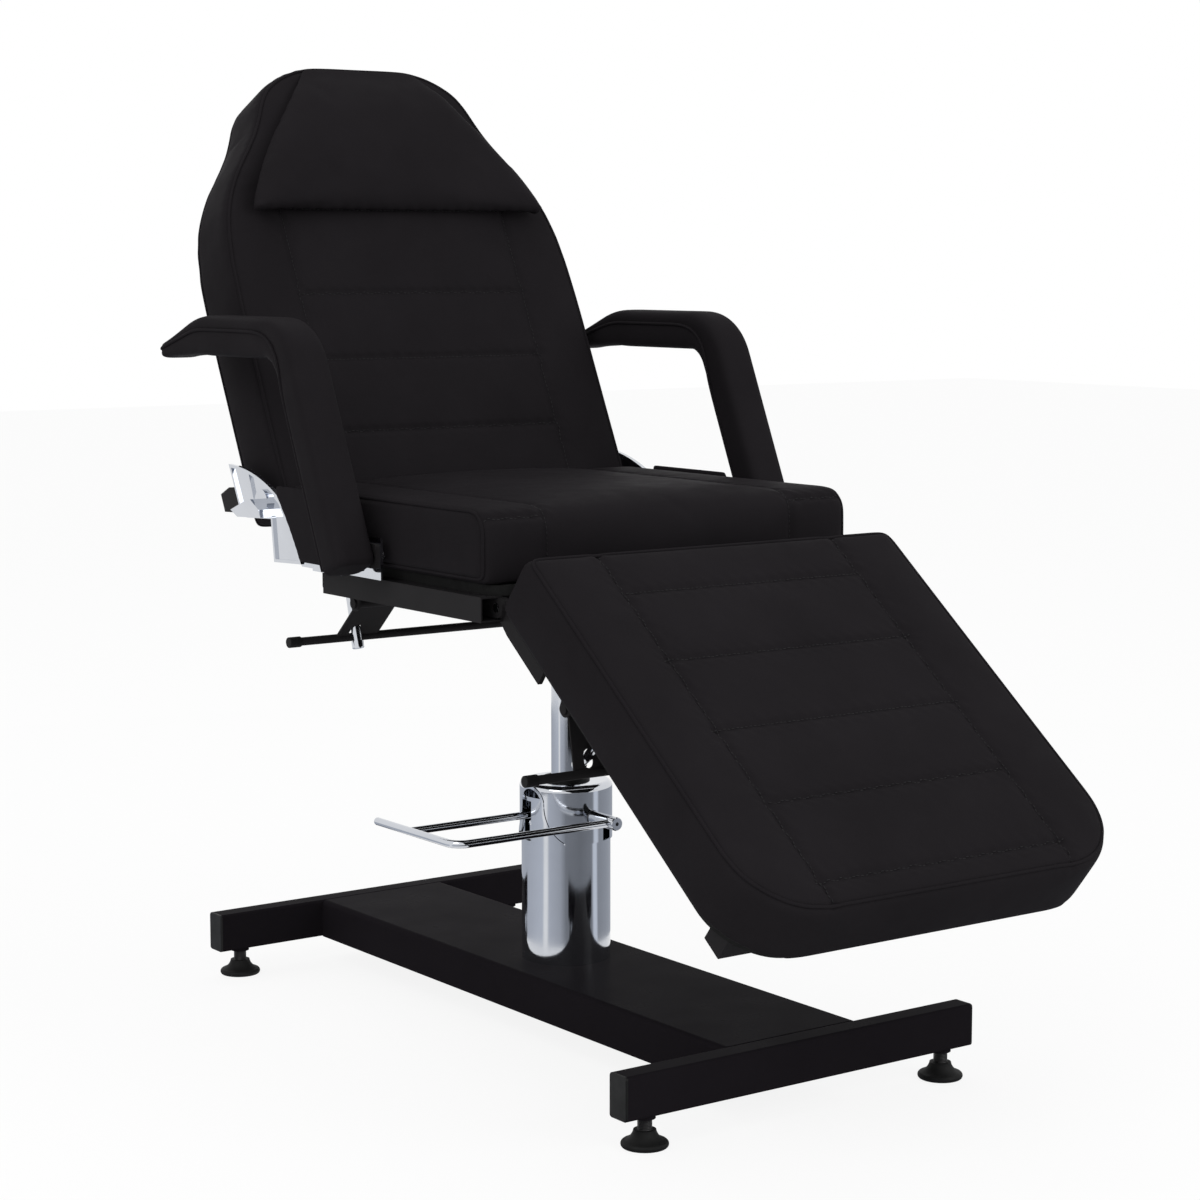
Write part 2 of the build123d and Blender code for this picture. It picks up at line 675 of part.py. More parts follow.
with BuildPart() as seat_frame:
    add(seat_shell.part)
    with BuildSketch(lug_plane.offset(lug_inner)) as lug_outline:
        Circle(leg_lug_radius)
        with Locations((leg_lug_length / 2, 0)):
            Rectangle(leg_lug_length, 2 * leg_lug_radius)
    extrude(amount=leg_lug_thickness)
    mirror(about=Plane.YZ)
    for side in (-1, 1):
        with BuildSketch(Plane.XZ.offset(-seat_rail_back)):
            with Locations((side * inner_rail_centre, frame_bottom + inner_rail_height / 2)):
                Rectangle(inner_rail_width, inner_rail_height)
                Rectangle(inner_rail_width - 2 * frame_wall, inner_rail_height - 2 * frame_wall,
                          mode=Mode.SUBTRACT)
        extrude(amount=-(housing_reach - seat_rail_back))
        with BuildSketch(Plane.XY.offset(frame_bottom - cut_overrun)):
            with Locations(*[(side * mid_cross_place, end * mid_cross_place) for end in (-1, 1)]):
                Circle(bolt_radius)
        extrude(amount=frame_wall + 2 * cut_overrun, mode=Mode.SUBTRACT)
        with BuildSketch(Plane.XY.offset(frame_top + cut_overrun)):
            with Locations(*[(side * x, y) for x, y in tab_bolt_places]):
                Circle(bolt_radius)
        extrude(amount=-frame_wall - 2 * cut_overrun, mode=Mode.SUBTRACT)
        with BuildSketch(lug_plane.offset(side * (lug_inner - cut_overrun))):
            Circle(leg_pin_radius)
        extrude(amount=side * (leg_lug_thickness + cut_overrun), mode=Mode.SUBTRACT)
save(seat_frame, "seat_frame")

with BuildPart() as seat_board:
    with BuildSketch(Plane.XY.offset(frame_top)):
        with Locations((0, (seat_rail_front + seat_board_back) / 2)):
            RectangleRounded(2 * seat_board_half_width, seat_board_back - seat_rail_front, board_corner)
    extrude(amount=board_thickness)
save(seat_board, "seat_board")


def seat_back_y(z):
    """Where the seat cushion's rear face lies, parallel to the back's front face."""
    front_point = back_pivot + back_out * back_face
    behind = (z - front_point.Z) * tan(radians(back_lean))
    return front_point.Y + behind - seat_back_gap / cos(radians(back_lean))


with BuildPart() as seat_cushion:
    with BuildSketch(Plane.YZ):
        with BuildLine():
            Polyline((seat_front, cushion_bottom), (seat_front, seat_top), (seat_back_y(seat_top), seat_top),
                     (seat_back_y(cushion_bottom), cushion_bottom), close=True)
        make_face()
    extrude(amount=seat_half_width, both=True)
    fillet(seat_cushion.edges().filter_by(Axis.X).group_by(Axis.Z)[-1].sort_by(Axis.Y)[0], seat_front_radius)
    fillet(seat_cushion.faces().filter_by(Axis.X).edges(), seat_edge_radius)
save(seat_cushion, "seat_cushion")


# Back: cushion, board and pillow share one waisted outline
def back_outline(inset, start):
    """The back's outline on its own plane, drawn in by an inset, from a starting place up."""
    half_width = back_half_width - inset
    top = back_bottom + back_length - inset
    points = [(wide * back_shoulder_half_width - inset, back_bottom + far * back_length - inset / 2)
              for wide, far in back_outline_shares]
    with BuildSketch() as outline:
        with BuildLine():
            bottom_line = Polyline((0, start), (half_width, start),
                                   (half_width, back_bottom + back_length / 4))
            Spline(bottom_line @ 1, *points, (0, top), tangents=((0, 1), (-1, 0)))
            mirror(about=Plane.YZ)
        make_face()
    return outline


with BuildPart() as back_cushion:
    cushion_outline = back_outline(0, back_bottom)
    extrude(back_plane.offset(back_face - back_thickness) * cushion_outline.sketch, amount=back_thickness)
    fillet(back_cushion.faces().sort_by(Axis(back_pivot, back_out))[-1].edges(), back_edge_radius)
save(back_cushion, "back_cushion")

with BuildPart() as back_board:
    board_outline = back_outline(back_board_inset, back_frame_start)
    extrude(back_plane.offset(back_face - back_thickness - board_thickness) * board_outline.sketch,
            amount=board_thickness)
save(back_board, "back_board")

with BuildPart() as head_pillow:
    with BuildSketch(back_plane.offset(back_face + seat_gap)):
        with BuildLine():
            pillow_top = pillow_bottom + pillow_length
            foot_line = Polyline((0, pillow_bottom), (pillow_half_width, pillow_bottom),
                                 (pillow_half_width, pillow_bottom + pillow_edge_radius))
            side_points = [(wide * pillow_half_width, pillow_bottom + far * pillow_length)
                           for wide, far in pillow_side_shares]
            pillow_side = Spline(foot_line @ 1, *side_points,
                                 (pillow_top_half_width, pillow_top - pillow_edge_radius))
            Polyline(pillow_side @ 1, (pillow_top_half_width - pillow_edge_radius, pillow_top), (0, pillow_top))
            mirror(about=Plane.YZ)
        make_face()
    extrude(amount=pillow_thickness)
    slope_start = back_pivot + back_up * pillow_bottom + back_out * (back_face + seat_gap + pillow_thickness)
    slope_end = back_pivot + back_up * pillow_top + back_out * (back_face + seat_gap + pillow_top_thickness)
    slope = (slope_end - slope_start).normalized()
    slope_plane = Plane(origin=slope_start, x_dir=(1, 0, 0), z_dir=Vector(1, 0, 0).cross(slope))
    split(bisect_by=slope_plane, keep=Keep.BOTTOM)
save(head_pillow, "head_pillow")

back_frame_back = back_face - back_thickness - board_thickness - back_tube
back_rails = [(side * back_rail_centre, (back_frame_start + back_frame_end) / 2, back_tube,
               back_frame_end - back_frame_start) for side in (-1, 1)]
back_tubes = back_rails + [(0, back_frame_start + back_tube / 2, 2 * back_cross_half, back_tube),
                           (0, back_mid_cross_place, 2 * back_mid_cross_half, back_tube),
                           (0, back_frame_end - back_tube / 2, 2 * back_rail_centre + back_tube, back_tube)]
back_frame = hollow_frame(back_plane.offset(back_frame_back), back_tube, back_tubes, [])
save(back_frame, "back_frame")

with BuildPart() as back_hinge_arms:
    with BuildSketch(back_side.offset(back_cross_half)):
        with BuildLine():
            Line((back_frame_start, back_frame_back), (back_frame_start + back_tube, back_frame_back))
            CenterArc((0, 0), hinge_arm_radius, 0, 360)
            Line((back_frame_start, back_frame_back + back_tube),
                 (back_frame_start + back_tube, back_frame_back + back_tube))
        make_hull()
    extrude(amount=hinge_arm_thickness)
    with BuildSketch(back_side.offset(back_cross_half)):
        Circle(hinge_pin_radius)
    extrude(amount=hinge_pin_end - back_cross_half)
    mirror(about=Plane.YZ)
save(back_hinge_arms, "back_hinge_arms")


# Side brackets: a pressed plate with a rim, a boss on the pivot and a foot bolted to the seat rail
def bracket_points(shares):
    """Outline points round the back pivot, from shares of the bracket's reach."""
    return [(across * bracket_reach, up * bracket_reach) for across, up in shares]


arc_points = bracket_points(bracket_arc_shares)
foot_level = bracket_bottom - back_pivot_z
with BuildSketch() as bracket_outline:
    with BuildLine():
        upper_arc = ThreePointArc(*arc_points[:3])
        lower_arc = ThreePointArc(*arc_points[2:])
        Polyline(lower_arc @ 1, (bracket_foot_share * bracket_reach, foot_level),
                 *bracket_points(bracket_rear_shares), upper_arc @ 0)
    make_face()

with BuildSketch() as bracket_pocket:
    add(bracket_outline.sketch)
    offset(amount=-bracket_rim_width)

with BuildSketch() as block_outline:
    with BuildLine():
        Polyline(*bracket_points(bracket_block_shares), close=True)
    make_face()

with BuildSketch() as rib_outline:
    with BuildLine():
        Polyline(*bracket_points(bracket_rib_shares), close=True)
    make_face()
    add(bracket_outline.sketch, mode=Mode.INTERSECT)

arm_stub = (arm_foot_y + arm_stub_rise * (arm_elbow_y - arm_foot_y) / (arm_top_z - arm_foot_z),
            arm_foot_z + arm_stub_rise)
arm_bolt_places = [(arm_stub[0] + way * arm_bolt_offset, arm_stub[1]) for way in (-1, 1)]
bracket_outer = bracket_inner + bracket_sheet
with BuildPart() as left_bracket:
    extrude(pivot_side.offset(bracket_inner) * bracket_outline.sketch, amount=bracket_sheet + bracket_rim_height)
    extrude(pivot_side.offset(bracket_outer) * bracket_pocket.sketch, amount=bracket_rim_height + cut_overrun,
            mode=Mode.SUBTRACT)
    with BuildSketch(Plane.YZ.offset(bracket_inner)):
        with BuildLine():
            Polyline((bracket_front, bracket_bottom),
                     (back_pivot_y + arc_points[-1][0] + bracket_sheet, bracket_bottom),
                     (back_pivot_y + arc_points[-2][0] + bracket_sheet, bracket_front_top),
                     (bracket_front, bracket_front_top), close=True)
        make_face()
    extrude(amount=bracket_sheet)
    with BuildSketch(Plane.XY.offset(frame_top)):
        with Locations(((bracket_tab_inner + bracket_outer) / 2,
                        (bracket_tab_front + bracket_tab_back) / 2)):
            Rectangle(bracket_outer - bracket_tab_inner, bracket_tab_back - bracket_tab_front)
    extrude(amount=bracket_sheet)
    extrude(pivot_side.offset(bracket_outer) * block_outline.sketch, amount=bracket_block_height)
    extrude(pivot_side.offset(bracket_outer) * rib_outline.sketch, amount=bracket_rim_height)
    with BuildSketch(pivot_side.offset(bracket_inner - bracket_sheet + seat_gap)):
        Circle(bracket_boss_radius)
    extrude(amount=2 * bracket_sheet - seat_gap + bracket_rim_height + bracket_boss_height)
    with BuildSketch(pivot_side.offset(bracket_inner - cut_overrun)):
        Circle(hinge_pin_radius + running_clearance)
    extrude(amount=hinge_pin_end + seat_gap - bracket_inner + cut_overrun, mode=Mode.SUBTRACT)
    with BuildSketch(Plane.YZ.offset(bracket_inner - cut_overrun)):
        with Locations(*arm_bolt_places):
            Circle(bolt_radius)
    extrude(amount=bracket_sheet + 2 * cut_overrun, mode=Mode.SUBTRACT)
    with BuildSketch(Plane.XY.offset(frame_top - cut_overrun)):
        with Locations(*tab_bolt_places):
            Circle(bolt_radius)
    extrude(amount=bracket_sheet + 2 * cut_overrun, mode=Mode.SUBTRACT)
save(left_bracket, "left_bracket")
with BuildPart() as right_bracket:
    mirror(left_bracket.part, about=Plane.YZ)
save(right_bracket, "right_bracket")

# Armrests: a bent steel core with a foot plate, inside a padded arm
with BuildLine(Plane.YZ.offset(arm_centre)) as arm_line:
    arm_path = FilletPolyline((arm_foot_y, arm_foot_z), (arm_elbow_y, arm_top_z), (arm_drop_y, arm_top_z),
                              (arm_tip_y, arm_tip_z), radius=[arm_elbow_radius, arm_drop_radius])
with BuildLine(Plane.YZ.offset(arm_centre)) as core_line:
    core_path = FilletPolyline(arm_stub, (arm_elbow_y, arm_top_z), (arm_drop_y, arm_top_z),
                               (arm_tip_y - arm_core_margin, arm_tip_z + arm_core_margin * (arm_top_z - arm_tip_z)
                                / (arm_tip_y - arm_drop_y)),
                               radius=[arm_elbow_radius, arm_drop_radius])


def arm_core_shape(margin):
    """The bent core with its stub to the bracket, larger by a margin."""
    with BuildPart() as core:
        with BuildSketch(Plane(origin=core_path @ 0, x_dir=(1, 0, 0), z_dir=core_path % 0)):
            Circle(arm_core_radius + margin)
        sweep(path=core_path)
        with Locations(core_path @ 0):
            Sphere(arm_core_radius + margin)
        with BuildSketch(Plane.YZ.offset(bracket_outer + arm_plate_thickness / 2)):
            with Locations(arm_stub):
                Circle(arm_core_radius + margin)
        extrude(amount=arm_centre - bracket_outer - arm_plate_thickness / 2)
    return core


with BuildPart() as left_arm_core:
    add(arm_core_shape(0).part)
    with BuildSketch(Plane.YZ.offset(bracket_outer)):
        with Locations(((arm_plate_front + arm_plate_back) / 2, (arm_plate_bottom + arm_plate_top) / 2)):
            RectangleRounded(arm_plate_back - arm_plate_front, arm_plate_top - arm_plate_bottom,
                             bracket_rim_width)
        with Locations(*arm_bolt_places):
            Circle(bolt_radius, mode=Mode.SUBTRACT)
    extrude(amount=arm_plate_thickness)
save(left_arm_core, "left_arm_core")
with BuildPart() as right_arm_core:
    mirror(left_arm_core.part, about=Plane.YZ)
save(right_arm_core, "right_arm_core")

with BuildPart() as left_arm_pad:
    with BuildSketch(Plane(origin=arm_path @ 0, x_dir=(1, 0, 0), z_dir=arm_path % 0)):
        RectangleRounded(arm_width, arm_depth, arm_corner)
    sweep(path=arm_path)
    fillet(left_arm_pad.faces().sort_by(Axis.Y)[-1].edges(), arm_end_radius)
    add(arm_core_shape(seat_gap).part, mode=Mode.SUBTRACT)
save(left_arm_pad, "left_arm_pad")
with BuildPart() as right_arm_pad:
    mirror(left_arm_pad.part, about=Plane.YZ)
save(right_arm_pad, "right_arm_pad")

bracket_bolts_inner = hex_bolt(Plane(origin=(bracket_inner, 0, 0), x_dir=(0, -1, 0), z_dir=(-1, 0, 0)),
                               [(-y, z) for y, z in arm_bolt_places], bracket_sheet + arm_plate_thickness)
bracket_bolts_tab = hex_bolt(Plane.XY.offset(frame_top + bracket_sheet), tab_bolt_places, bolt_length)
with BuildPart() as bracket_bolts:
    add(bracket_bolts_inner.part)
    add(bracket_bolts_tab.part)
    mirror(about=Plane.YZ)
save(bracket_bolts, "bracket_bolts")

# Side panels: they lie on the brackets, between the arm's leg and the rim
arm_slope = (arm_elbow_y - arm_foot_y) / (arm_top_z - arm_foot_z)


def arm_rear_y(z):
    """The rear edge of the arm's leg at a height, with the panel's gap."""
    half_depth = arm_depth / 2 * (1 + arm_slope ** 2) ** 0.5
    return arm_foot_y + (z - arm_foot_z) * arm_slope + half_depth + panel_gap


with BuildSketch() as bracket_clearance:
    add(bracket_outline.sketch)
    offset(amount=panel_gap)

with BuildPart() as left_side_panel:
    with BuildSketch(pivot_side.offset(bracket_outer)):
        with BuildLine():
            Polyline((arm_rear_y(panel_bottom) - back_pivot_y, panel_bottom - back_pivot_z),
                     (arm_rear_y(panel_top) - back_pivot_y, panel_top - back_pivot_z),
                     (arc_points[2][0], panel_top - back_pivot_z), arc_points[2],
                     (arc_points[4][0], panel_bottom - back_pivot_z), close=True)
        make_face()
        add(bracket_clearance.sketch, mode=Mode.SUBTRACT)
    extrude(amount=panel_thickness)
save(left_side_panel, "left_side_panel")
with BuildPart() as right_side_panel:
    mirror(left_side_panel.part, about=Plane.YZ)
save(right_side_panel, "right_side_panel")

# Leg rest: frame with tongues on the hinge pins, board and cushion
leg_rails = [(side * inner_rail_centre, (leg_frame_start + leg_frame_end) / 2, frame_tube,
              leg_frame_end - leg_frame_start) for side in (-1, 1)]
tongue_outer = lug_inner - seat_gap
tongue_inner = tongue_outer - leg_lug_thickness
leg_tubes = leg_rails + [(0, leg_frame_start + frame_tube / 2, 2 * tongue_inner, frame_tube),
                         (0, leg_frame_end - frame_tube / 2, 2 * tongue_inner, frame_tube)]
leg_shell = hollow_frame(leg_plane.offset(leg_frame_bottom), frame_tube, leg_tubes, [])
with BuildPart() as leg_frame:
    add(leg_shell.part)
    for side in (-1, 1):
        with BuildSketch(leg_plane.offset(leg_frame_bottom - cut_overrun)):
            with Locations((side * inner_rail_centre, leg_lever_place + housing_start + housing_length / 2)):
                Rectangle(inner_rail_width, housing_length)
        extrude(amount=housing_above + cut_overrun, mode=Mode.SUBTRACT)
save(leg_frame, "leg_frame")

with BuildPart() as leg_tongues:
    with BuildSketch(leg_side.offset(tongue_inner)):
        with BuildLine():
            CenterArc((0, 0), leg_lug_radius, 0, 360)
            Line((leg_tongue_length, leg_frame_bottom), (leg_tongue_length, leg_frame_top))
            Line((leg_frame_start, leg_frame_bottom), (leg_frame_start, leg_frame_top))
        make_hull()
        Circle(leg_pin_radius + running_clearance, mode=Mode.SUBTRACT)
    extrude(amount=leg_lug_thickness)
    mirror(about=Plane.YZ)
save(leg_tongues, "leg_tongues")

with BuildPart() as leg_hinge_pins:
    with BuildSketch(lug_plane.offset(tongue_inner - seat_gap)):
        Circle(leg_pin_radius)
    extrude(amount=lug_inner + leg_lug_thickness - tongue_inner + seat_gap)
    with BuildSketch(lug_plane.offset(tongue_inner - seat_gap)):
        Circle(leg_pin_head_radius)
    extrude(amount=-leg_pin_head_height)
    mirror(about=Plane.YZ)
save(leg_hinge_pins, "leg_hinge_pins")


def leg_outline(plane, inset):
    """The leg rest's plan, with large corners at the foot end, drawn in by an inset."""
    with BuildSketch(plane) as outline:
        with Locations((0, leg_start + leg_length / 2)):
            Rectangle(2 * (leg_half_width - inset), leg_length - 2 * inset)
        fillet(outline.vertices().group_by(Axis.Y)[-1], leg_foot_corner - inset)
        fillet(outline.vertices().group_by(Axis.Y)[0], leg_head_corner)
    return outline


with BuildPart() as leg_board:
    extrude(leg_outline(leg_plane.offset(leg_frame_top), leg_board_inset).sketch, amount=board_thickness)
save(leg_board, "leg_board")

with BuildPart() as leg_cushion:
    extrude(leg_outline(leg_plane.offset(leg_frame_top + board_thickness), 0).sketch, amount=leg_thickness)
    fillet(leg_cushion.faces().sort_by(Axis(leg_hinge, leg_out))[-1].edges(), leg_edge_radius)
save(leg_cushion, "leg_cushion")

# Release levers: one side plane carries each, with its x away from the pivot and its y towards the frame
back_lever_side = Plane(origin=(0, back_lever_y, frame_bottom - lever_pivot_drop), x_dir=(0, 1, 0),
                        z_dir=(1, 0, 0))
leg_lever_origin = leg_hinge + leg_along * leg_lever_place + leg_out * (leg_frame_bottom - lever_pivot_drop)
leg_lever_side = Plane(origin=leg_lever_origin, x_dir=leg_along, z_dir=(-1, 0, 0))


def side_point(side, along, up):
    """A point of a lever's side plane in space."""
    return side.from_local_coords(Vector(along, up, 0))


def release_lever(side):
    """A cross bar on two paddles, each with a knuckle on the pivot and a slot for its lock rod."""
    paddle_along = (side_point(side, lever_reach, -lever_drop) - side_point(side, 0, 0)).normalized()
    paddle_length = (lever_reach ** 2 + lever_drop ** 2) ** 0.5
    paddle_plane = Plane(origin=side_point(side, 0, 0), x_dir=paddle_along,
                         z_dir=paddle_along.cross(Vector(1, 0, 0)))
    paddle_middle = (lever_paddle_inner + lever_paddle_outer) / 2
    slot_middle = rod_share * paddle_length + (rod_slot_ahead - rod_slot_back) / 2
    with BuildPart() as lever:
        with BuildSketch(side):
            with Locations((lever_reach, -lever_drop)):
                Circle(lever_bar_radius)
        extrude(amount=lever_bar_half, both=True)
        with BuildSketch(paddle_plane):
            with Locations(*[(paddle_length / 2, way * paddle_middle) for way in (-1, 1)]):
                Rectangle(paddle_length, lever_paddle_outer - lever_paddle_inner)
        extrude(amount=lever_paddle_sheet / 2, both=True)
        for way in (-1, 1):
            with BuildSketch(side.offset(way * lever_paddle_inner)):
                Circle(lever_knuckle_radius)
            extrude(amount=way * (lever_paddle_outer - lever_paddle_inner))
        with BuildSketch(side):
            Circle(lever_pin_radius + running_clearance)
        extrude(amount=lever_bar_half, both=True, mode=Mode.SUBTRACT)
        with BuildSketch(paddle_plane):
            with Locations(*[(slot_middle, way * inner_rail_centre) for way in (-1, 1)]):
                SlotOverall(rod_slot_back + rod_slot_ahead, rod_slot_width)
        extrude(amount=lever_knuckle_radius, both=True, mode=Mode.SUBTRACT)
    return lever


def lever_brackets(side):
    """Folded brackets under the frame, with ears on both ends of each knuckle and their pins."""
    inner = lever_paddle_inner - ear_gap - ear_sheet
    outer = lever_paddle_outer + ear_gap + ear_sheet
    with BuildPart() as brackets:
        for way in (-1, 1):
            with BuildSketch(side.offset(way * inner)):
                with Locations((0, lever_pivot_drop - ear_sheet / 2)):
                    Rectangle(2 * ear_half_length, ear_sheet)
            extrude(amount=way * (outer - inner))
            for start in (inner, outer - ear_sheet):
                with BuildSketch(side.offset(way * start)):
                    with BuildLine():
                        CenterArc((0, 0), ear_radius, 0, 360)
                        Line((-ear_half_length, lever_pivot_drop), (ear_half_length, lever_pivot_drop))
                    make_hull()
                extrude(amount=way * ear_sheet)
            with BuildSketch(side.offset(way * (inner - lever_pin_head_height))):
                Circle(lever_pin_radius)
            extrude(amount=way * (outer - inner + 2 * lever_pin_head_height))
            for start in (inner - lever_pin_head_height, outer):
                with BuildSketch(side.offset(way * start)):
                    Circle(lever_pin_head_radius)
                extrude(amount=way * lever_pin_head_height)
    return brackets


def lock_rods(side, margin, top):
    """Two lock rods that lean through the paddles up into their housings, larger by a margin."""
    foot = side_point(side, rod_share * lever_reach, -rod_share * lever_drop)
    lean = radians(rod_lean)
    along = (side_point(side, sin(lean), cos(lean)) - side_point(side, 0, 0)).normalized()
    reach = (top + rod_share * lever_drop) / cos(lean)
    with BuildPart() as rods:
        with BuildSketch(Plane(origin=foot, x_dir=(1, 0, 0), z_dir=along)):
            with Locations(*[(way * inner_rail_centre, 0) for way in (-1, 1)]):
                Circle(rod_radius + margin)
        extrude(amount=reach)
        extrude(rods.faces().sort_by(Axis(foot, along))[:2], amount=rod_nut_drop)
        if not margin:
            with BuildSketch(Plane(origin=foot - along * rod_nut_drop, x_dir=(1, 0, 0), z_dir=along)):
                with Locations(*[(way * inner_rail_centre, 0) for way in (-1, 1)]):
                    Circle(rod_nut_radius)
            extrude(amount=-rod_nut_length)
            chamfer(rods.faces().sort_by(Axis(foot, along))[:2].edges(), rod_nut_length / 8)
    return rods


def lock_housings(side):
    """Two closed housings in line with the frame's inner rails, bored for the lock rods."""
    with BuildPart() as housings:
        with BuildSketch(side):
            with Locations((housing_start + housing_length / 2, lever_pivot_drop - housing_below)):
                Rectangle(housing_length, housing_below + housing_above, align=(Align.CENTER, Align.MIN))
        extrude(amount=inner_rail_centre + inner_rail_width / 2, both=True)
        with BuildSketch(side):
            with Locations((housing_start + housing_length / 2, lever_pivot_drop)):
                Rectangle(2 * housing_length, 4 * housing_above)
        extrude(amount=inner_rail_centre - inner_rail_width / 2, both=True, mode=Mode.SUBTRACT)
        fillet(housings.edges().filter_by(Axis.X), ear_sheet)
        bore_top = lever_pivot_drop + housing_above - housing_roof
        add(lock_rods(side, running_clearance, bore_top).part, mode=Mode.SUBTRACT)
    return housings


def grips(side):
    """Rubber caps on both ends of a release bar."""
    with BuildPart() as caps:
        for way in (-1, 1):
            with BuildSketch(side.offset(way * (lever_bar_half + grip_end_wall))):
                with Locations((lever_reach, -lever_drop)):
                    Circle(grip_radius)
            extrude(amount=-way * grip_length)
        fillet(caps.faces().filter_by(Axis.X).edges(), soft_end_share * grip_end_wall)
        with BuildSketch(side):
            with Locations((lever_reach, -lever_drop)):
                Circle(lever_bar_radius)
        extrude(amount=lever_bar_half, both=True, mode=Mode.SUBTRACT)
    return caps


for owner, side in (("back", back_lever_side), ("leg", leg_lever_side)):
    save(release_lever(side), f"{owner}_release")
    save(grips(side), f"{owner}_release_grips")
    save(lock_rods(side, 0, rod_top), f"{owner}_lock_rods")
    save(lock_housings(side), f"{owner}_lock_housings")
    save(lever_brackets(side), f"{owner}_lever_brackets")
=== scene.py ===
"""Upholstery, trim, finishes and studio of the tattoo chair, laid out as an add-on and run as a script."""

import json
from math import cos, pi, radians, sin

import bmesh
import bpy
import numpy as np
from mathutils import Euler, Matrix, Vector
from mathutils.bvhtree import BVHTree


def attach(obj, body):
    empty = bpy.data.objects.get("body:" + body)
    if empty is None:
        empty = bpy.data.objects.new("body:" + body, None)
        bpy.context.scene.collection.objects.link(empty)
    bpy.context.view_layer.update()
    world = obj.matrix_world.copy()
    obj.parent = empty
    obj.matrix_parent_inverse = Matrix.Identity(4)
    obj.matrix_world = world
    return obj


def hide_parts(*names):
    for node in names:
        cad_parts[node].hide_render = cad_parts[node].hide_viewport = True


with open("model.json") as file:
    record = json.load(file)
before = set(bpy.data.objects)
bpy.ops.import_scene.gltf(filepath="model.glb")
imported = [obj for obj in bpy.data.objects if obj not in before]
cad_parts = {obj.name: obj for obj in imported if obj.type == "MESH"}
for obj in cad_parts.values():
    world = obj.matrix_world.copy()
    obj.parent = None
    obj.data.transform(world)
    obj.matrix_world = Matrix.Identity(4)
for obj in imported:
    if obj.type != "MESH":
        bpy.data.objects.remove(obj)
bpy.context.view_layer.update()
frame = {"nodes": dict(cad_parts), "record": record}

bl_info = {
    "name": "Tattoo Chair Upholstery",
    "version": (1, 0, 0),
    "blender": (4, 5, 0),
    "location": "3D View > Sidebar > Chair",
    "description": "Makes the cushions, seams, trim and finishes of a pump-lift tattoo chair",
    "category": "Object",
}

# The cushions' own axes: across, along and out of the padded face
BACK_PIVOT = Vector((0.0, 0.251, 0.680))
BACK_LEAN = radians(25.18)
LEG_HINGE = Vector((0.0, -0.222, 0.587))
LEG_DROP = radians(38.0)
SIDES = (-1, 1)

# Seams and piping
SEAM_STEP = 0.005
SEAM_PUCKER, PUCKER_REACH = 0.0006, 3.2
PUCKER_ACROSS, PUCKER_ALONG, PUCKER_DRIFT, PUCKER_DRIFT_WAVE = 310, 270, 1.7, 90
WELT_FURROW = 0.0016
WELT_LIFT, THREAD_LIFT = 0.0008, 0.6
SEAM_HOLD, SEAM_HOLD_REACH = 0.75, 0.010

# Cloth that swells the cushions. A cover is held up to a height over its lowest point, and the hold fades
SWELL_FRAMES = 20
SEAT_HOLD, BACK_HOLD, LEG_HOLD, SMALL_HOLD = 0.004, 0.006, 0.004, 0.003
HOLD_FADE, HOLD_STEP = 0.012, 0.01

# Seat cushion: the long seam's line in (y, z), the front panel's seam and the end panels' welt
SEAT_SEAM_AT, SEAT_PANEL_AT = 0.186, 0.2797
SEAT_SEAM = ((0.222, 0.711), (-0.205, 0.711), (-0.224, 0.701), (-0.231, 0.676), (-0.231, 0.618))
SEAT_FRONT_SEAM = ((0.186, -0.227, 0.697), (0.272, -0.227, 0.697))
SEAT_PANEL_REAR = ((0.186, 0.6175), (0.2262, 0.707))
SEAT_PANEL_FRONT = (-0.227, 0.6175)
SEAT_CORNER, SEAT_CORNER_RADIUS = (-0.1975, 0.6775), 0.0295

# Back and leg cushions in their own axes: padded face, seams along, channels across, and the walls' levels
BACK_FACE, BACK_SEAM_AT, BACK_SEAM_ENDS = 0.0251, 0.179, (-0.008, 0.43)
BACK_CHANNELS = (0.0855, 0.1895, 0.2850)
BACK_WALL, BACK_REAR_RIM = (-0.081, 0.009), -0.0765
LEG_FACE, LEG_SEAM_AT, LEG_SEAM_ENDS = 0.1175, 0.1765, (0.022, 0.576)
LEG_CHANNELS = (0.0975, 0.206, 0.315, 0.4245, 0.5376)
LEG_WALL = (0.023, 0.102)
RIM_INSET, RIM_STEP = 0.004, 0.006

# Head pillow: its edges roll down to a low rim, and its top end thins and bends with the back's rim
PILLOW_WALL, PILLOW_ROLL, PILLOW_CROWN, PILLOW_RIM = (0.02, 0.07), 0.036, 0.006, 0.12
PILLOW_PRESSURE, PILLOW_SWELL, PILLOW_EVENING = 2.0, 0.005, 10
PILLOW_THIN, PILLOW_THIN_SPAN = 0.65, (0.55, 0.625)
PILLOW_BEND, PILLOW_BEND_SPAN = 0.012, (0.575, 0.628)
PILLOW_SEAM = (0.214, 0.3915, 0.030)

# Arm pads: their line in (y, z), its bends, their section, and how foot and tip close
ARM_LINE = ((-0.017, 0.617), (0.105, 0.8925), (0.318, 0.8925), (0.424, 0.868))
ARM_BENDS, ARM_STEP = (0.062, 0.150), 0.004
ARM_CENTRE, ARM_HALF_WIDTH, ARM_HALF_DEPTH, ARM_SQUARENESS = 0.332, 0.028, 0.026, 0.48
ARM_TIP, ARM_FOOT = 0.017, 0.008
ARM_THIN, ARM_THIN_LENGTH = 0.60, 0.135
ARM_RING, ARM_STATIONS = 48, 150
ARM_WELT_POINTS, ARM_WELT_ENDS = 120, (0.006, 0.004)
ARM_WELT_LEVEL, ARM_WELT_DROP, ARM_WELT_RISE = 0.008, 0.030, (0.20, 0.36)

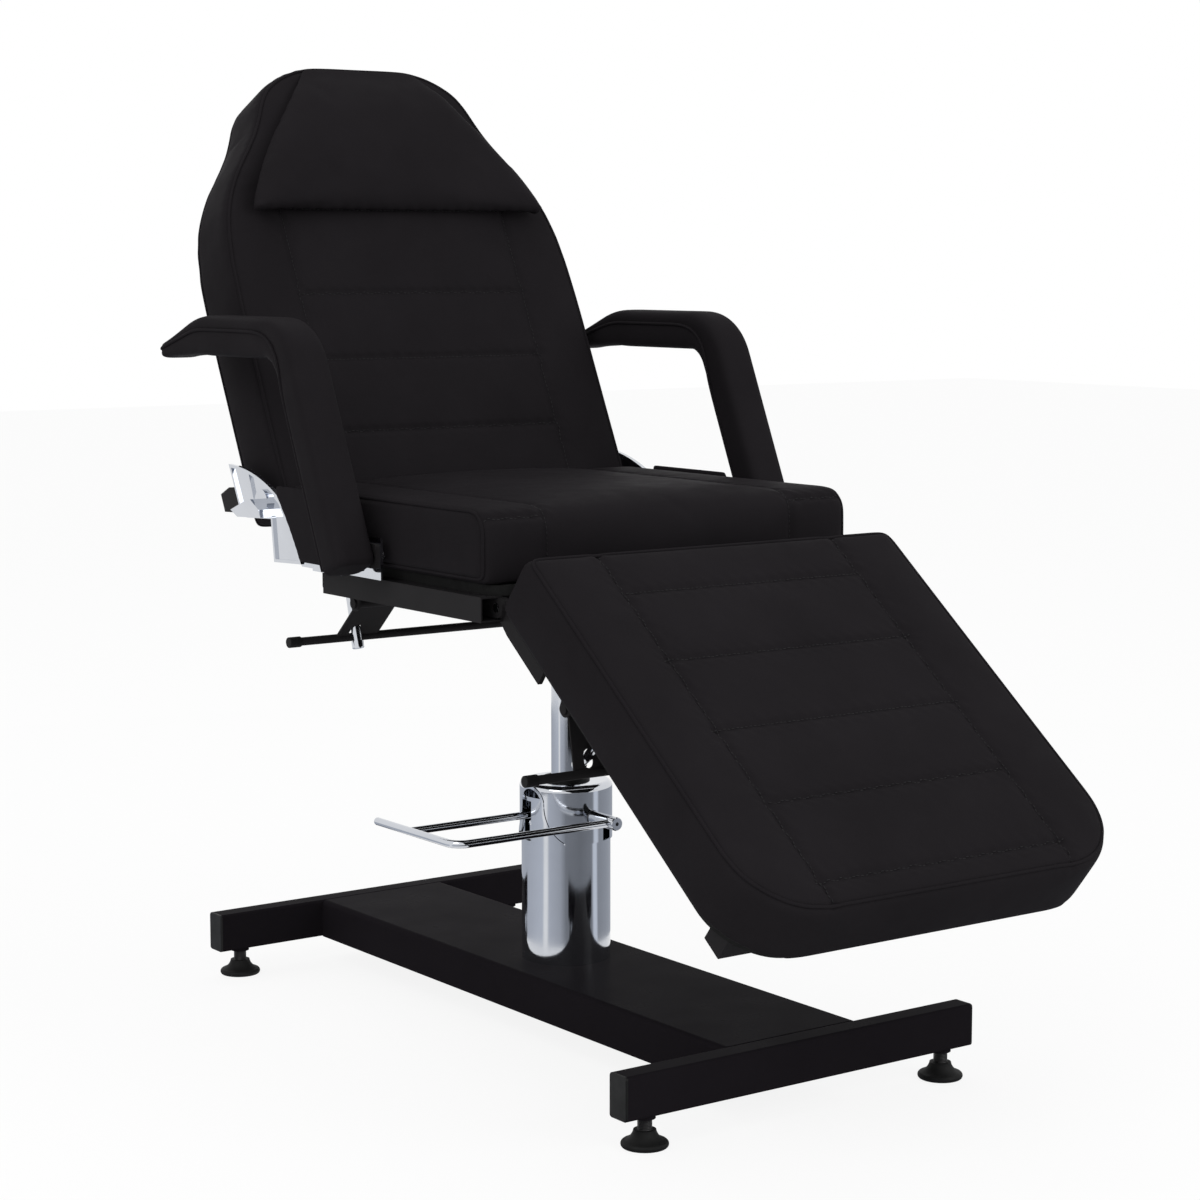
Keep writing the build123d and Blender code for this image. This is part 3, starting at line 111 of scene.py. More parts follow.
# Side panels
PANEL_VOXEL, PANEL_DRAW_IN, PANEL_PRESSURE, PANEL_SWELL = 0.003, 0.0012, 3.0, 0.003

# Staples and screws
STAPLE_PITCH, STAPLE_LENGTH, STAPLE_WIRE, STAPLE_INSET = 0.034, 0.010, 0.0005, 0.010
SCREW_RADIUS, SCREW_HEIGHT = 0.0052, 0.0026

# Stage
LAMPS = (("key_lamp", (-3.2, -1.6, 3.4), 2.6, "key_power"),
         ("fill_lamp", (1.6, -4.2, 2.2), 2.6, "fill_power"),
         ("top_lamp", (0.4, 1.6, 3.8), 2.4, "top_power"))
LAMP_TARGET = Vector((0, 0, 0.6))
FLOOR_REACH, FLOOR_LEVEL = 14, -0.0005
FLOOR_WHITE_SHARE, FLOOR_WHITE = 0.86, 1.02
RING_STEPS, RING_INNER, RING_OUTER, RING_LEVEL = 96, 0.5, 2.6, 0.001
# How light the grey ring is, by its turn from the camera's far side round the pump and back to it
RING_TURN = radians(125.3)
RING_STOPS = ((0.0, 2.4), (0.18, 2.8), (0.33, 3.4), (0.345, 6.2), (0.365, 6.2), (0.38, 3.0), (0.46, 2.4),
              (0.50, 1.3), (0.60, 1.1), (0.69, 1.4), (0.705, 4.0), (0.73, 4.0), (0.745, 1.8), (0.88, 2.2))


def colour_setting(name, description, default):
    """A colour that the panel can change."""
    return bpy.props.FloatVectorProperty(
        name=name, description=description, subtype="COLOR", size=3, min=0, max=1, default=default)


def length_setting(name, description, default, least=0.0):
    """A length in metres that the panel can change."""
    return bpy.props.FloatProperty(
        name=name, description=description, default=default, min=least, unit="LENGTH")


def power_setting(name, description, default):
    """A lamp's power in watts."""
    return bpy.props.FloatProperty(name=name, description=description, default=default, min=0, unit="POWER")


class CoverLooks(bpy.types.PropertyGroup):
    """The leatherette cover, its seams and its thread."""
    leather: colour_setting("Leatherette", "Colour of the cover", (0.0142, 0.0127, 0.0143))
    grain: length_setting("Grain", "Size of one pebble of the grain", 0.0011, 0.0003)
    welt_radius: length_setting("Welt", "Radius of the piping round the cushions", 0.0021, 0.0005)
    seam_depth: length_setting("Seam Depth", "How far a sewn seam lies in the cover", 0.0034)
    seam_width: length_setting("Seam Width", "Half width of the furrow beside a seam", 0.0045, 0.001)
    stitch_pitch: length_setting("Stitch Pitch", "Distance from stitch to stitch", 0.0062, 0.002)
    stitch_length: length_setting("Stitch Length", "Length of one stitch", 0.0046, 0.001)
    thread: length_setting("Thread", "Radius of the sewing thread", 0.0005, 0.0001)


class FoamSettings(bpy.types.PropertyGroup):
    """How the foam swells inside its cover."""
    voxel: length_setting("Voxel", "Mesh size of the large cushions", 0.0068, 0.003)
    fine_voxel: length_setting("Fine Voxel", "Mesh size of the head pillow", 0.0048, 0.002)
    pressure: bpy.props.FloatProperty(
        name="Pressure", description="Pressure of the foam on the cover", default=4.0, min=0)
    swell: length_setting("Swell", "The most that a point of the cover may move", 0.016)
    draw_in: length_setting("Draw In", "How much smaller a cushion starts than its solid", 0.004)


class MetalLooks(bpy.types.PropertyGroup):
    """Colours of the hard pieces."""
    base_paint: colour_setting("Base Paint", "Powder coat of the base", (0.0120, 0.0104, 0.0125))
    frame_paint: colour_setting("Frame Paint", "Powder coat of the frames and levers", (0.018, 0.017, 0.018))
    chrome: colour_setting("Chrome", "Plated steel", (0.60, 0.62, 0.66))
    dark_steel: colour_setting("Dark Steel", "Oiled steel of the pump", (0.16, 0.16, 0.17))
    zinc: colour_setting("Zinc", "Plated screws", (0.52, 0.53, 0.55))
    plastic: colour_setting("Plastic", "End caps", (0.0035, 0.0035, 0.0037))
    rubber: colour_setting("Rubber", "Feet and grips", (0.0032, 0.0032, 0.0033))
    lining: colour_setting("Lining", "Cloth that lines the boards", (0.012, 0.012, 0.012))


class StudioSettings(bpy.types.PropertyGroup):
    """Camera, lamps and floor."""
    camera_place: bpy.props.FloatVectorProperty(
        name="Camera", description="Place of the camera", subtype="TRANSLATION", unit="LENGTH", size=3,
        default=(-2.0379, -2.8852, 0.9916))
    camera_turn: bpy.props.FloatProperty(
        name="Turn", description="Turn of the camera about the upright", subtype="ANGLE",
        default=radians(-35.95))
    camera_tilt: bpy.props.FloatProperty(
        name="Tilt", description="How far the camera looks down", subtype="ANGLE", default=radians(7.04))
    focal_length: bpy.props.FloatProperty(
        name="Focal Length", description="Lens on a 36 mm sensor", default=83.14, min=20, unit="CAMERA")
    key_power: power_setting("Key", "Power of the main lamp", 42.0)
    fill_power: power_setting("Fill", "Power of the fill lamp", 45.0)
    top_power: power_setting("Top", "Power of the top lamp", 14.0)
    sky: bpy.props.FloatProperty(name="Sky", description="Strength of the room's light", default=0.70, min=0)
    floor: colour_setting("Floor", "Colour of the floor", (0.9, 0.9, 0.9))
    grey: colour_setting("Grey", "Grey of the ring that the plated steel reflects", (0.18, 0.19, 0.21))


def fresh_material(name):
    """A node material and its shader."""
    material = bpy.data.materials.new(f"{name}_finish")
    material.use_nodes = True
    return material, material.node_tree, material.node_tree.nodes["Principled BSDF"]


def fed(tree, node, values):
    """Gives a node's sockets a value each, or joins them to another node's output."""
    for key, value in values.items():
        if isinstance(value, bpy.types.NodeSocket):
            tree.links.new(value, node.inputs[key])
        else:
            node.inputs[key].default_value = value


def add_node(tree, kind, values=None, **settings):
    """A shader or geometry node with its settings and what its sockets are given."""
    made = tree.nodes.new(kind)
    for key, value in settings.items():
        setattr(made, key, value)
    fed(tree, made, values or {})
    return made


def mottled(tree, place, colour, spread, scale):
    """A colour that drifts a little, lighter and darker, over the surface."""
    cloud = add_node(tree, "ShaderNodeTexNoise",
                     {"Vector": place, "Scale": scale, "Detail": 4.0, "Roughness": 0.6})
    ramp = add_node(tree, "ShaderNodeValToRGB", {"Fac": cloud.outputs["Fac"]})
    dark, light = ramp.color_ramp.elements
    dark.position, light.position = 0.3, 0.7
    dark.color = (*[c * (1 - spread) for c in colour], 1)
    light.color = (*[min(c * (1 + spread), 1) for c in colour], 1)
    return ramp.outputs["Color"]


def ranged(tree, place, low, high, scale):
    """A value that drifts between two limits."""
    cloud = add_node(tree, "ShaderNodeTexNoise", {"Vector": place, "Scale": scale, "Detail": 3.0})
    spread = add_node(tree, "ShaderNodeMapRange", {"Value": cloud.outputs["Fac"], "From Min": 0.3,
                                                   "From Max": 0.7, "To Min": low, "To Max": high})
    return spread.outputs["Result"]


def bumped(tree, place, texture, scale, detail, strength, distance):
    """A fine bump on the shader, from a texture of one scale."""
    pattern = add_node(tree, texture, {"Vector": place, "Scale": scale, "Detail": detail})
    bump = add_node(tree, "ShaderNodeBump",
                    {"Height": pattern.outputs["Fac"], "Strength": strength, "Distance": distance})
    fed(tree, tree.nodes["Principled BSDF"], {"Normal": bump.outputs["Normal"]})
    return pattern


def leatherette(looks):
    """Coated cloth with a fine pebble grain and a soft gloss."""
    material, tree, shader = fresh_material("leatherette")
    place = add_node(tree, "ShaderNodeTexCoord").outputs["Object"]
    pebbles = add_node(tree, "ShaderNodeTexVoronoi",
                       {"Vector": place, "Scale": 1 / looks.grain, "Randomness": 1.0}, feature="SMOOTH_F1")
    creases = add_node(tree, "ShaderNodeTexNoise",
                       {"Vector": place, "Scale": 160.0, "Detail": 6.0, "Roughness": 0.65})
    wide = add_node(tree, "ShaderNodeBump",
                    {"Height": creases.outputs["Fac"], "Strength": 0.16, "Distance": 0.0012})
    fine = add_node(tree, "ShaderNodeBump",
                    {"Height": pebbles.outputs["Distance"], "Normal": wide.outputs["Normal"],
                     "Strength": 0.22, "Distance": 0.0004}, invert=True)
    fed(tree, shader, {"Base Color": mottled(tree, place, looks.leather, 0.10, 7.0),
                       "Roughness": ranged(tree, place, 0.54, 0.64, 30.0),
                       "Specular IOR Level": 0.010, "Normal": fine.outputs["Normal"]})
    return material


def even_coat(name, colour, spread, cloud, rough, gloss, bump):
    """Paint, plastic, rubber or lining: a drifting colour, an even or drifting roughness, a fine bump."""
    material, tree, shader = fresh_material(name)
    place = add_node(tree, "ShaderNodeTexCoord").outputs["Object"]
    fed(tree, shader, {"Base Color": mottled(tree, place, colour, spread, cloud),
                       "Roughness": ranged(tree, place, *rough) if isinstance(rough, tuple) else rough,
                       "Specular IOR Level": gloss})
    bumped(tree, place, "ShaderNodeTexNoise", *bump)
    return material


def powder_coat(name, colour, low, high, gloss):
    """Satin powder coat with a slight orange peel."""
    return even_coat(name, colour, 0.06, 9.0, (low, high, 14.0), gloss, (520.0, 2.0, 0.08, 0.0003))


def moulded(name, colour, roughness, scale):
    """Moulded plastic or rubber with an even, fine texture."""
    return even_coat(name, colour, 0.10, 16.0, (roughness - 0.06, roughness + 0.06, 60.0), 0.25,
                     (scale, 2.0, 0.12, 0.0003))


def lining_cloth(colour):
    """The black spun lining stapled under the boards."""
    return even_coat("lining_cloth", colour, 0.25, 90.0, 0.9, 0.15, (1400.0, 4.0, 0.3, 0.0004))


def plated(name, colour, low, high, brushed=0.0):
    """Plated or machined steel, with fine turning marks where it is brushed."""
    material, tree, shader = fresh_material(name)
    place = add_node(tree, "ShaderNodeTexCoord").outputs["Object"]
    fed(tree, shader, {"Base Color": mottled(tree, place, colour, 0.03, 20.0),
                       "Roughness": ranged(tree, place, low, high, 26.0), "Metallic": 1.0})
    stretch = add_node(tree, "ShaderNodeMapping", {"Vector": place, "Scale": (40.0, 40.0, 2600.0)})
    bumped(tree, stretch.outputs["Vector"], "ShaderNodeTexNoise", 1.0, 2.0, 0.02 + brushed, 0.0002)
    return material


def screw_steel(colour):
    """Black steel of the foot screws, with the thread's ridges along the upright."""
    material, tree, shader = fresh_material("screw_thread")
    place = add_node(tree, "ShaderNodeTexCoord").outputs["Object"]
    fed(tree, shader, {"Base Color": mottled(tree, place, colour, 0.08, 30.0), "Roughness": 0.42,
                       "Metallic": 0.4})
    bumped(tree, place, "ShaderNodeTexWave", 180.0, 2.0, 0.5, 0.0012).bands_direction = "Z"
    return material


FINISHES = {}


def finish_of(name):
    """A material made once, by its name."""
    if name in FINISHES:
        return FINISHES[name]
    covers = bpy.context.scene.chair_cover
    metals = bpy.context.scene.chair_metal
    makers = {
        "leatherette": lambda: leatherette(covers),
        "sewing_thread": lambda: moulded("sewing_thread", (0.011, 0.011, 0.012), 0.6, 3000.0),
        "base_paint": lambda: powder_coat("base_paint", metals.base_paint, 0.26, 0.34, 0.0015),
        "frame_paint": lambda: powder_coat("frame_paint", metals.frame_paint, 0.40, 0.50, 0.03),
        "chrome": lambda: plated("chrome", metals.chrome, 0.06, 0.11),
        "pump_steel": lambda: plated("pump_steel", metals.dark_steel, 0.30, 0.42, 0.06),
        "bolt_steel": lambda: plated("bolt_steel", metals.zinc, 0.22, 0.34, 0.03),
        "cap_plastic": lambda: moulded("cap_plastic", metals.plastic, 0.55, 900.0),
        "rubber": lambda: moulded("rubber", metals.rubber, 0.70, 1200.0),
        "board": lambda: lining_cloth(metals.lining),
        "screw_thread": lambda: screw_steel(metals.frame_paint),
    }
    FINISHES[name] = makers[name]()
    return FINISHES[name]


def cushion_axes(pivot, across, along, out):
    """The matrix from a cushion's own axes to the chair's."""
    turned = Matrix((across, along, out)).transposed().to_4x4()
    return Matrix.Translation(pivot) @ turned


SEAT_AXES = Matrix.Identity(4)
BACK_AXES = cushion_axes(BACK_PIVOT, (1, 0, 0), (0, sin(BACK_LEAN), cos(BACK_LEAN)),
                         (0, -cos(BACK_LEAN), sin(BACK_LEAN)))
LEG_AXES = cushion_axes(LEG_HINGE, (-1, 0, 0), (0, -cos(LEG_DROP), -sin(LEG_DROP)),
                        (0, -sin(LEG_DROP), cos(LEG_DROP)))


def linked(name, data):
    """An object of a mesh, a lamp or a camera, put in the scene."""
    made = bpy.data.objects.new(name, data)
    bpy.context.scene.collection.objects.link(made)
    return made


def meshed(name, shape):
    """A new object of a bmesh, which is freed."""
    mesh = bpy.data.meshes.new(name)
    shape.to_mesh(mesh)
    shape.free()
    return linked(name, mesh)


def put_in_scene(name, mesh, finish):
    """A smooth-shaded object of a mesh, with one material."""
    made = linked(name, mesh)
    mesh.materials.clear()
    mesh.materials.append(finish_of(finish))
    mesh.polygons.foreach_set("use_smooth", [True] * len(mesh.polygons))
    return made


def baked(item, name, finish):
    """The object with its modifiers applied, as a plain mesh."""
    bpy.context.view_layer.update()
    evaluated = item.evaluated_get(bpy.context.evaluated_depsgraph_get())
    mesh = bpy.data.meshes.new_from_object(evaluated)
    bpy.data.objects.remove(item)
    made = put_in_scene(name, mesh, finish)
    mesh.name = name
    return made


def points_of(mesh):
    """The mesh's points as rows."""
    rows = np.empty(len(mesh.vertices) * 3)
    mesh.vertices.foreach_get("co", rows)
    return rows.reshape(-1, 3)


def normals_of(mesh):
    """The mesh's point normals as rows."""
    rows = np.empty(len(mesh.vertices) * 3)
    mesh.vertex_normals.foreach_get("vector", rows)
    return rows.reshape(-1, 3)


def set_points(mesh, rows):
    """Puts the rows back as the mesh's points."""
    mesh.vertices.foreach_set("co", np.asarray(rows, float).ravel())
    mesh.update()


def node_copy(node, axes):
    """A merged copy of a CAD node's mesh in a cushion's own axes."""
    mesh = frame["nodes"][node].data.copy()
    mesh.transform(axes.inverted())
    shape = bmesh.new()
    shape.from_mesh(mesh)
    bmesh.ops.remove_doubles(shape, verts=shape.verts, dist=1e-5)
    bmesh.ops.recalc_face_normals(shape, faces=shape.faces)
    shape.to_mesh(mesh)
    shape.free()
    return mesh


def smooth_step(value, low, high):
    """0 below low, 1 above high, and smooth between them."""
    t = np.clip((value - low) / (high - low), 0, 1)
    return t * t * (3 - 2 * t)


def evened(points, step, closed=False):
    """The polyline's points at even steps."""
    rows = np.asarray(points, float)
    if closed:
        rows = np.vstack([rows, rows[:1]])
    lengths = np.concatenate([[0], np.cumsum(np.linalg.norm(np.diff(rows, axis=0), axis=1))])
    count = max(2, round(lengths[-1] / step) + 1)
    at = np.linspace(0, lengths[-1], count)
    even = np.stack([np.interp(at, lengths, rows[:, i]) for i in range(3)], axis=1)
    return even[:-1] if closed else even


def laid_on(mesh, points, lift=0.0):
    """The points moved to the nearest place of a surface, and lifted off it."""
    tree = BVHTree.FromPolygons([v.co for v in mesh.vertices], [p.vertices[:] for p in mesh.polygons])
    rows = []
    for point in points:
        place, normal, _, _ = tree.find_nearest(Vector(point))
        rows.append(place + normal * lift)
    return np.array(rows, float)


def softened(rows, closed, rounds=2):
    """A polyline with its small kinks taken out."""
    for _ in range(rounds):
        ahead, behind = np.roll(rows, -1, axis=0), np.roll(rows, 1, axis=0)
        if not closed:
            ahead[-1], behind[0] = rows[-1], rows[0]
            ahead[0], behind[-1] = rows[0], rows[-1]
        rows = rows * 0.5 + (ahead + behind) * 0.25
    return rows


def distance_to(rows, line, closed):
    """How far each row lies from a polyline."""
    nearest = np.full(len(rows), 1e9)
    ends = np.vstack([line, line[:1]]) if closed else line
    low, high = line.min(0) - 0.02, line.max(0) + 0.02
    near = np.all((rows > low) & (rows < high), axis=1)
    picked = rows[near]
    best = np.full(len(picked), 1e9)
    for a, b in zip(ends[:-1], ends[1:]):
        along = b - a
        share = np.clip(((picked - a) @ along) / max(along @ along, 1e-12), 0, 1)
        best = np.minimum(best, np.linalg.norm(picked - a - share[:, None] * along, axis=1))
    nearest[near] = best
    return nearest


def press_seam(mesh, line, closed, depth, width, puckers=0.0):
    """Sinks a furrow into the cover along a seam."""
    rows, outward = points_of(mesh), normals_of(mesh)
    away = distance_to(rows, line, closed)
    sunk = depth * np.exp(-((away / width) ** 2))
    if puckers:
        drift = PUCKER_DRIFT * np.sin(rows[:, 1] * PUCKER_DRIFT_WAVE)
        wave = np.sin(rows[:, 0] * PUCKER_ACROSS + rows[:, 1] * PUCKER_ALONG + drift)
        sunk += puckers * wave * np.exp(-((away / (PUCKER_REACH * width)) ** 2))
    set_points(mesh, rows - outward * sunk[:, None])


def wire(name, lines):
    """Loose edges along polylines, each (points, closed)."""
    verts, edges = [], []
    for rows, closed in lines:
        start = len(verts)
        verts += [tuple(p) for p in rows]
        edges += [(start + i, start + i + 1) for i in range(len(rows) - 1)]
        if closed:
            edges.append((start + len(rows) - 1, start))
    mesh = bpy.data.meshes.new(name)
    mesh.from_pydata(verts, edges, [])
    return linked(name, mesh)


def new_tree(name, sockets):
    """A geometry tree with a geometry input and output, the named inputs and a material."""
    tree = bpy.data.node_groups.new(name, "GeometryNodeTree")
    for label, kind in (("Geometry", "NodeSocketGeometry"), *sockets, ("Material", "NodeSocketMaterial")):
        tree.interface.new_socket(label, in_out="INPUT", socket_type=kind)
    tree.interface.new_socket("Geometry", in_out="OUTPUT", socket_type="NodeSocketGeometry")
    return tree, tree.nodes.new("NodeGroupInput"), tree.nodes.new("NodeGroupOutput")


def end_tree(tree, start, end, shape):
    """Closes a tree with real geometry and its material."""
    real = add_node(tree, "GeometryNodeRealizeInstances", {"Geometry": shape})
    cover = add_node(tree, "GeometryNodeSetMaterial",
                     {"Geometry": real.outputs["Geometry"], "Material": start.outputs["Material"]})
    fed(tree, end, {"Geometry": cover.outputs["Geometry"]})
    return tree


def welt_tree():
    """A round cord along each line, for the piping."""
    tree, start, end = new_tree("welt", [("Radius", "NodeSocketFloat")])
    line = add_node(tree, "GeometryNodeMeshToCurve", {"Mesh": start.outputs["Geometry"]})
    ring = add_node(tree, "GeometryNodeCurvePrimitiveCircle",
                    {"Resolution": 10, "Radius": start.outputs["Radius"]})
    cord = add_node(tree, "GeometryNodeCurveToMesh", {"Curve": line.outputs["Curve"], "Fill Caps": True,
                                                      "Profile Curve": ring.outputs["Curve"]})
    return end_tree(tree, start, end, cord.outputs["Mesh"])


def parts_tree(name, setting, kind, spots_of):
    """One small part copied to spots; spots_of makes the spots and their turn from the tree's start."""
    tree, start, end = new_tree(name, [(setting, kind), ("Part", "NodeSocketObject")])
    points, rotation = spots_of(tree, start.outputs)
    part = add_node(tree, "GeometryNodeObjectInfo", {"Object": start.outputs["Part"]})
    copies = add_node(tree, "GeometryNodeInstanceOnPoints",
                      {"Points": points, "Rotation": rotation, "Instance": part.outputs["Geometry"]})
    return end_tree(tree, start, end, copies.outputs["Instances"])


def row_tree():
    """One small part repeated along each line, its Z axis with the line."""
    def spots_of(tree, given):
        line = add_node(tree, "GeometryNodeMeshToCurve", {"Mesh": given["Geometry"]})
        spots = add_node(tree, "GeometryNodeCurveToPoints",
                         {"Curve": line.outputs["Curve"], "Length": given["Pitch"]}, mode="LENGTH")
        return spots.outputs["Points"], spots.outputs["Rotation"]
    return parts_tree("row_of_parts", "Pitch", "NodeSocketFloat", spots_of)


def spot_tree():
    """One part on each point, all turned the same way."""
    def spots_of(tree, given):
        spots = add_node(tree, "GeometryNodeMeshToPoints", {"Mesh": given["Geometry"]})
        turn = add_node(tree, "FunctionNodeEulerToRotation", {"Euler": given["Turn"]})
        return spots.outputs["Points"], turn.outputs["Rotation"]
    return parts_tree("parts_on_points", "Turn", "NodeSocketVector", spots_of)


TREES = {}


def grown(item, maker, finish, **values):
    """The wire object turned to a plain mesh by a tree, its inputs set by their identifiers."""
    name = item.name
    if maker not in TREES:
        TREES[maker] = maker()
    modifier = item.modifiers.new("Grow", "NODES")
    modifier.node_group = TREES[maker]
    sockets = {s.name: s.identifier for s in TREES[maker].interface.items_tree
               if s.item_type == "SOCKET" and s.in_out == "INPUT"}
    modifier[sockets["Material"]] = finish_of(finish)
    for label, value in values.items():
        modifier[sockets[label]] = value
    item.name = name + "_wire"
    return baked(item, name, finish)


def capsule(name, reach, radius, axis):
    """A small thread or wire with rounded ends, as a part to repeat."""
    shape = bmesh.new()
    bmesh.ops.create_uvsphere(shape, u_segments=6, v_segments=6, radius=1.0)
    scale = [radius, radius, radius]
    scale[axis] = reach / 2
    for v in shape.verts:
        v.co = Vector([v.co[i] * scale[i] for i in range(3)])
    return meshed(name, shape)


def screw_head(name, radius, height):
    """A domed screw head with a crossed recess, its top along +Z."""
    rings = ((1.0, 0.0), (1.0, 0.25), (0.93, 0.55), (0.76, 0.82), (0.5, 0.97), (0.30, 1.0))
    steps = 24
    shape = bmesh.new()
    circles = []
    for wide, high in rings:
        circles.append([shape.verts.new((radius * wide * cos(2 * pi * i / steps),
                                         radius * wide * sin(2 * pi * i / steps), height * high))
                        for i in range(steps)])
    floor = []
    for i in range(steps):
        angle = 2 * pi * i / steps
        arm = 0.30 if min(abs(cos(angle)), abs(sin(angle))) < 0.3 else 0.12
        floor.append(shape.verts.new((radius * arm * cos(angle), radius * arm * sin(angle), height * 0.45)))
    circles.append(floor)
    for low, high in zip(circles[:-1], circles[1:]):
        for i in range(steps):
            j = (i + 1) % steps
            shape.faces.new((low[i], low[j], high[j], high[i]))
    shape.faces.new(floor)
    shape.faces.new(circles[0][::-1])
    return meshed(name, shape)


def foam_start(name, node, axes, voxel, draw_in):
    """A CAD cushion drawn in a little and remeshed, in its own axes."""
    mesh = node_copy(node, axes)
    rows = points_of(mesh)
    low, high = rows.min(0), rows.max(0)
    centre, half = (low + high) / 2, (high - low) / 2
    scale = 1 - draw_in / half
    rows = centre + (rows - centre) * scale
    rows[:, 2] -= draw_in
    set_points(mesh, rows)
    made = put_in_scene(name, mesh, "leatherette")
    net = made.modifiers.new("Net", "REMESH")
    net.mode, net.voxel_size = "VOXEL", voxel
    soft = made.modifiers.new("Soft", "SMOOTH")
    soft.factor, soft.iterations = 0.5, 5
    return baked(made, name, "leatherette")


def swelled(item, held, pressure, cap):
    """The cushion blown up inside its cover by cloth, with held points and a cap on each move."""
    rest = points_of(item.data)
    group = item.vertex_groups.new(name="held")
    for i, weight in enumerate(held):
        if weight > 0.01:
            group.add([i], float(weight), "REPLACE")
    cloth = item.modifiers.new("Swell", "CLOTH")
    settings = cloth.settings
    settings.quality, settings.mass = 5, 0.25
    settings.tension_stiffness = settings.compression_stiffness = 18
    settings.shear_stiffness, settings.bending_stiffness = 8, 1.2
    settings.use_pressure, settings.uniform_pressure_force = True, pressure
    settings.vertex_group_mass = group.name
    settings.effector_weights.gravity = 0
    cloth.collision_settings.use_collision = False
    cloth.point_cache.frame_start, cloth.point_cache.frame_end = 1, SWELL_FRAMES
    scene = bpy.context.scene
    for number in range(1, SWELL_FRAMES + 1):
        scene.frame_set(number)
    evaluated = item.evaluated_get(bpy.context.evaluated_depsgraph_get())
    moved = points_of(evaluated.data) - rest
    item.modifiers.remove(cloth)
    item.vertex_groups.remove(group)
    scene.frame_set(1)
    length = np.linalg.norm(moved, axis=1)
    moved *= (np.minimum(length, cap * np.tanh(length / cap)) / np.maximum(length, 1e-9))[:, None]
    set_points(item.data, rest + moved)


def puffed(item, rim, roll, crown):
    """Rolls a cushion's face down to its rim, and raises its middle."""
    rows = points_of(item.data)
    away = distance_to(rows * (1, 1, 0), rim, True)
    inside = np.clip(away / roll + PILLOW_RIM, 0, 1)
    base = rows[:, 2].min()
    height = rows[:, 2] - base
    raised = 1 + crown / height.max() * smooth_step(away, roll / 2, roll * 3)
    height *= np.sqrt(1 - (1 - inside) ** 2) * raised
    rows[:, 2] = base + height
    set_points(item.data, rows)


def subdivided(item):
    """One applied level of subdivision."""
    finer = item.modifiers.new("Finer", "SUBSURF")
    finer.levels = finer.render_levels = 1
    return baked(item, item.name, "leatherette")


def rim_of(node, axes, levels, level, inset):
    """The plan outline of a cushion's wall, put at one level, ordered round its middle and drawn in."""
    rows = points_of(node_copy(node, axes))
    wall = rows[(rows[:, 2] > levels[0]) & (rows[:, 2] < levels[1])][:, :2]
    wall = np.unique(np.round(wall, 5), axis=0)
    middle = (wall.min(0) + wall.max(0)) / 2
    around = np.arctan2(wall[:, 1] - middle[1], wall[:, 0] - middle[0])
    wall = wall[np.argsort(around)]
    line = evened(np.column_stack([wall, np.full(len(wall), level)]), RIM_STEP, closed=True)
    ahead = np.roll(line, -1, axis=0) - np.roll(line, 1, axis=0)
    inward = np.stack([-ahead[:, 1], ahead[:, 0], np.zeros(len(line))], axis=1)
    inward /= np.maximum(np.linalg.norm(inward, axis=1), 1e-9)[:, None]
    return line + inward * inset


def sew(item, name, body, lines, welts, axes, replaced):
    """Presses the seams, adds welts and stitches, and puts all of it on its body."""
    looks = bpy.context.scene.chair_cover
    seams = []
    for points, closed in lines:
        line = softened(laid_on(item.data, evened(points, SEAM_STEP, closed)), closed)
        press_seam(item.data, line, closed, looks.seam_depth, looks.seam_width, SEAM_PUCKER)
        seams.append((line, closed))
    cords = []
    for points, closed in welts:
        line = softened(laid_on(item.data, evened(points, SEAM_STEP, closed)), closed, 4)
        press_seam(item.data, line, closed, WELT_FURROW, looks.seam_width)
        cords.append((line, closed))
    pieces = [item]
    if cords:
        lifted = [(softened(laid_on(item.data, line, WELT_LIFT), closed, 3), closed)
                  for line, closed in cords]
        pieces.append(grown(wire(name + "_welt", lifted), welt_tree, "leatherette",
                            Radius=looks.welt_radius))
    if seams:
        thread = capsule("one_stitch", looks.stitch_length, looks.thread, 2)
        sewn = [(laid_on(item.data, line, looks.thread * THREAD_LIFT), closed) for line, closed in seams]
        pieces.append(grown(wire(name + "_stitches", sewn), row_tree, "sewing_thread",
                            Pitch=looks.stitch_pitch, Part=thread))
        bpy.data.objects.remove(thread)
    for piece in pieces:
        piece.data.transform(axes)
        piece.data.update()
        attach(piece, body)
    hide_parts(replaced)


def held_down(rows, base_top, lines=()):
    """How firmly each point is held: all along the board, and part of it beside the seams."""
    held = 1 - smooth_step(rows[:, 2], base_top, base_top + HOLD_FADE)
    for points, closed in lines:
        away = distance_to(rows, np.asarray(points, float), closed)
        held = np.maximum(held, SEAM_HOLD * np.exp(-((away / SEAM_HOLD_REACH) ** 2)))
    return held


def padded_cushion(name, node, axes, lines, welts, hold):
    """One large cushion from its solid: drawn in, swelled between its seams and made finer."""
    foam = bpy.context.scene.chair_foam
    item = foam_start(name, node, axes, foam.voxel, foam.draw_in)
    rows = points_of(item.data)
    top = rows[:, 2].max()
    sewn = [(evened([(p[0], p[1], min(p[2], top)) for p in points], HOLD_STEP, closed), closed)
            for points, closed in lines + welts]
    swelled(item, held_down(rows, rows[:, 2].min() + hold, sewn), foam.pressure, foam.swell)
    return subdivided(item)


def channelled(face, seam_at, ends, channels):
    """Two seams along a cushion and the channels sewn across between them."""
    along = [([(s * seam_at, end, face) for end in ends], False) for s in SIDES]
    return along + [([(-seam_at, at, face), (seam_at, at, face)], False) for at in channels]


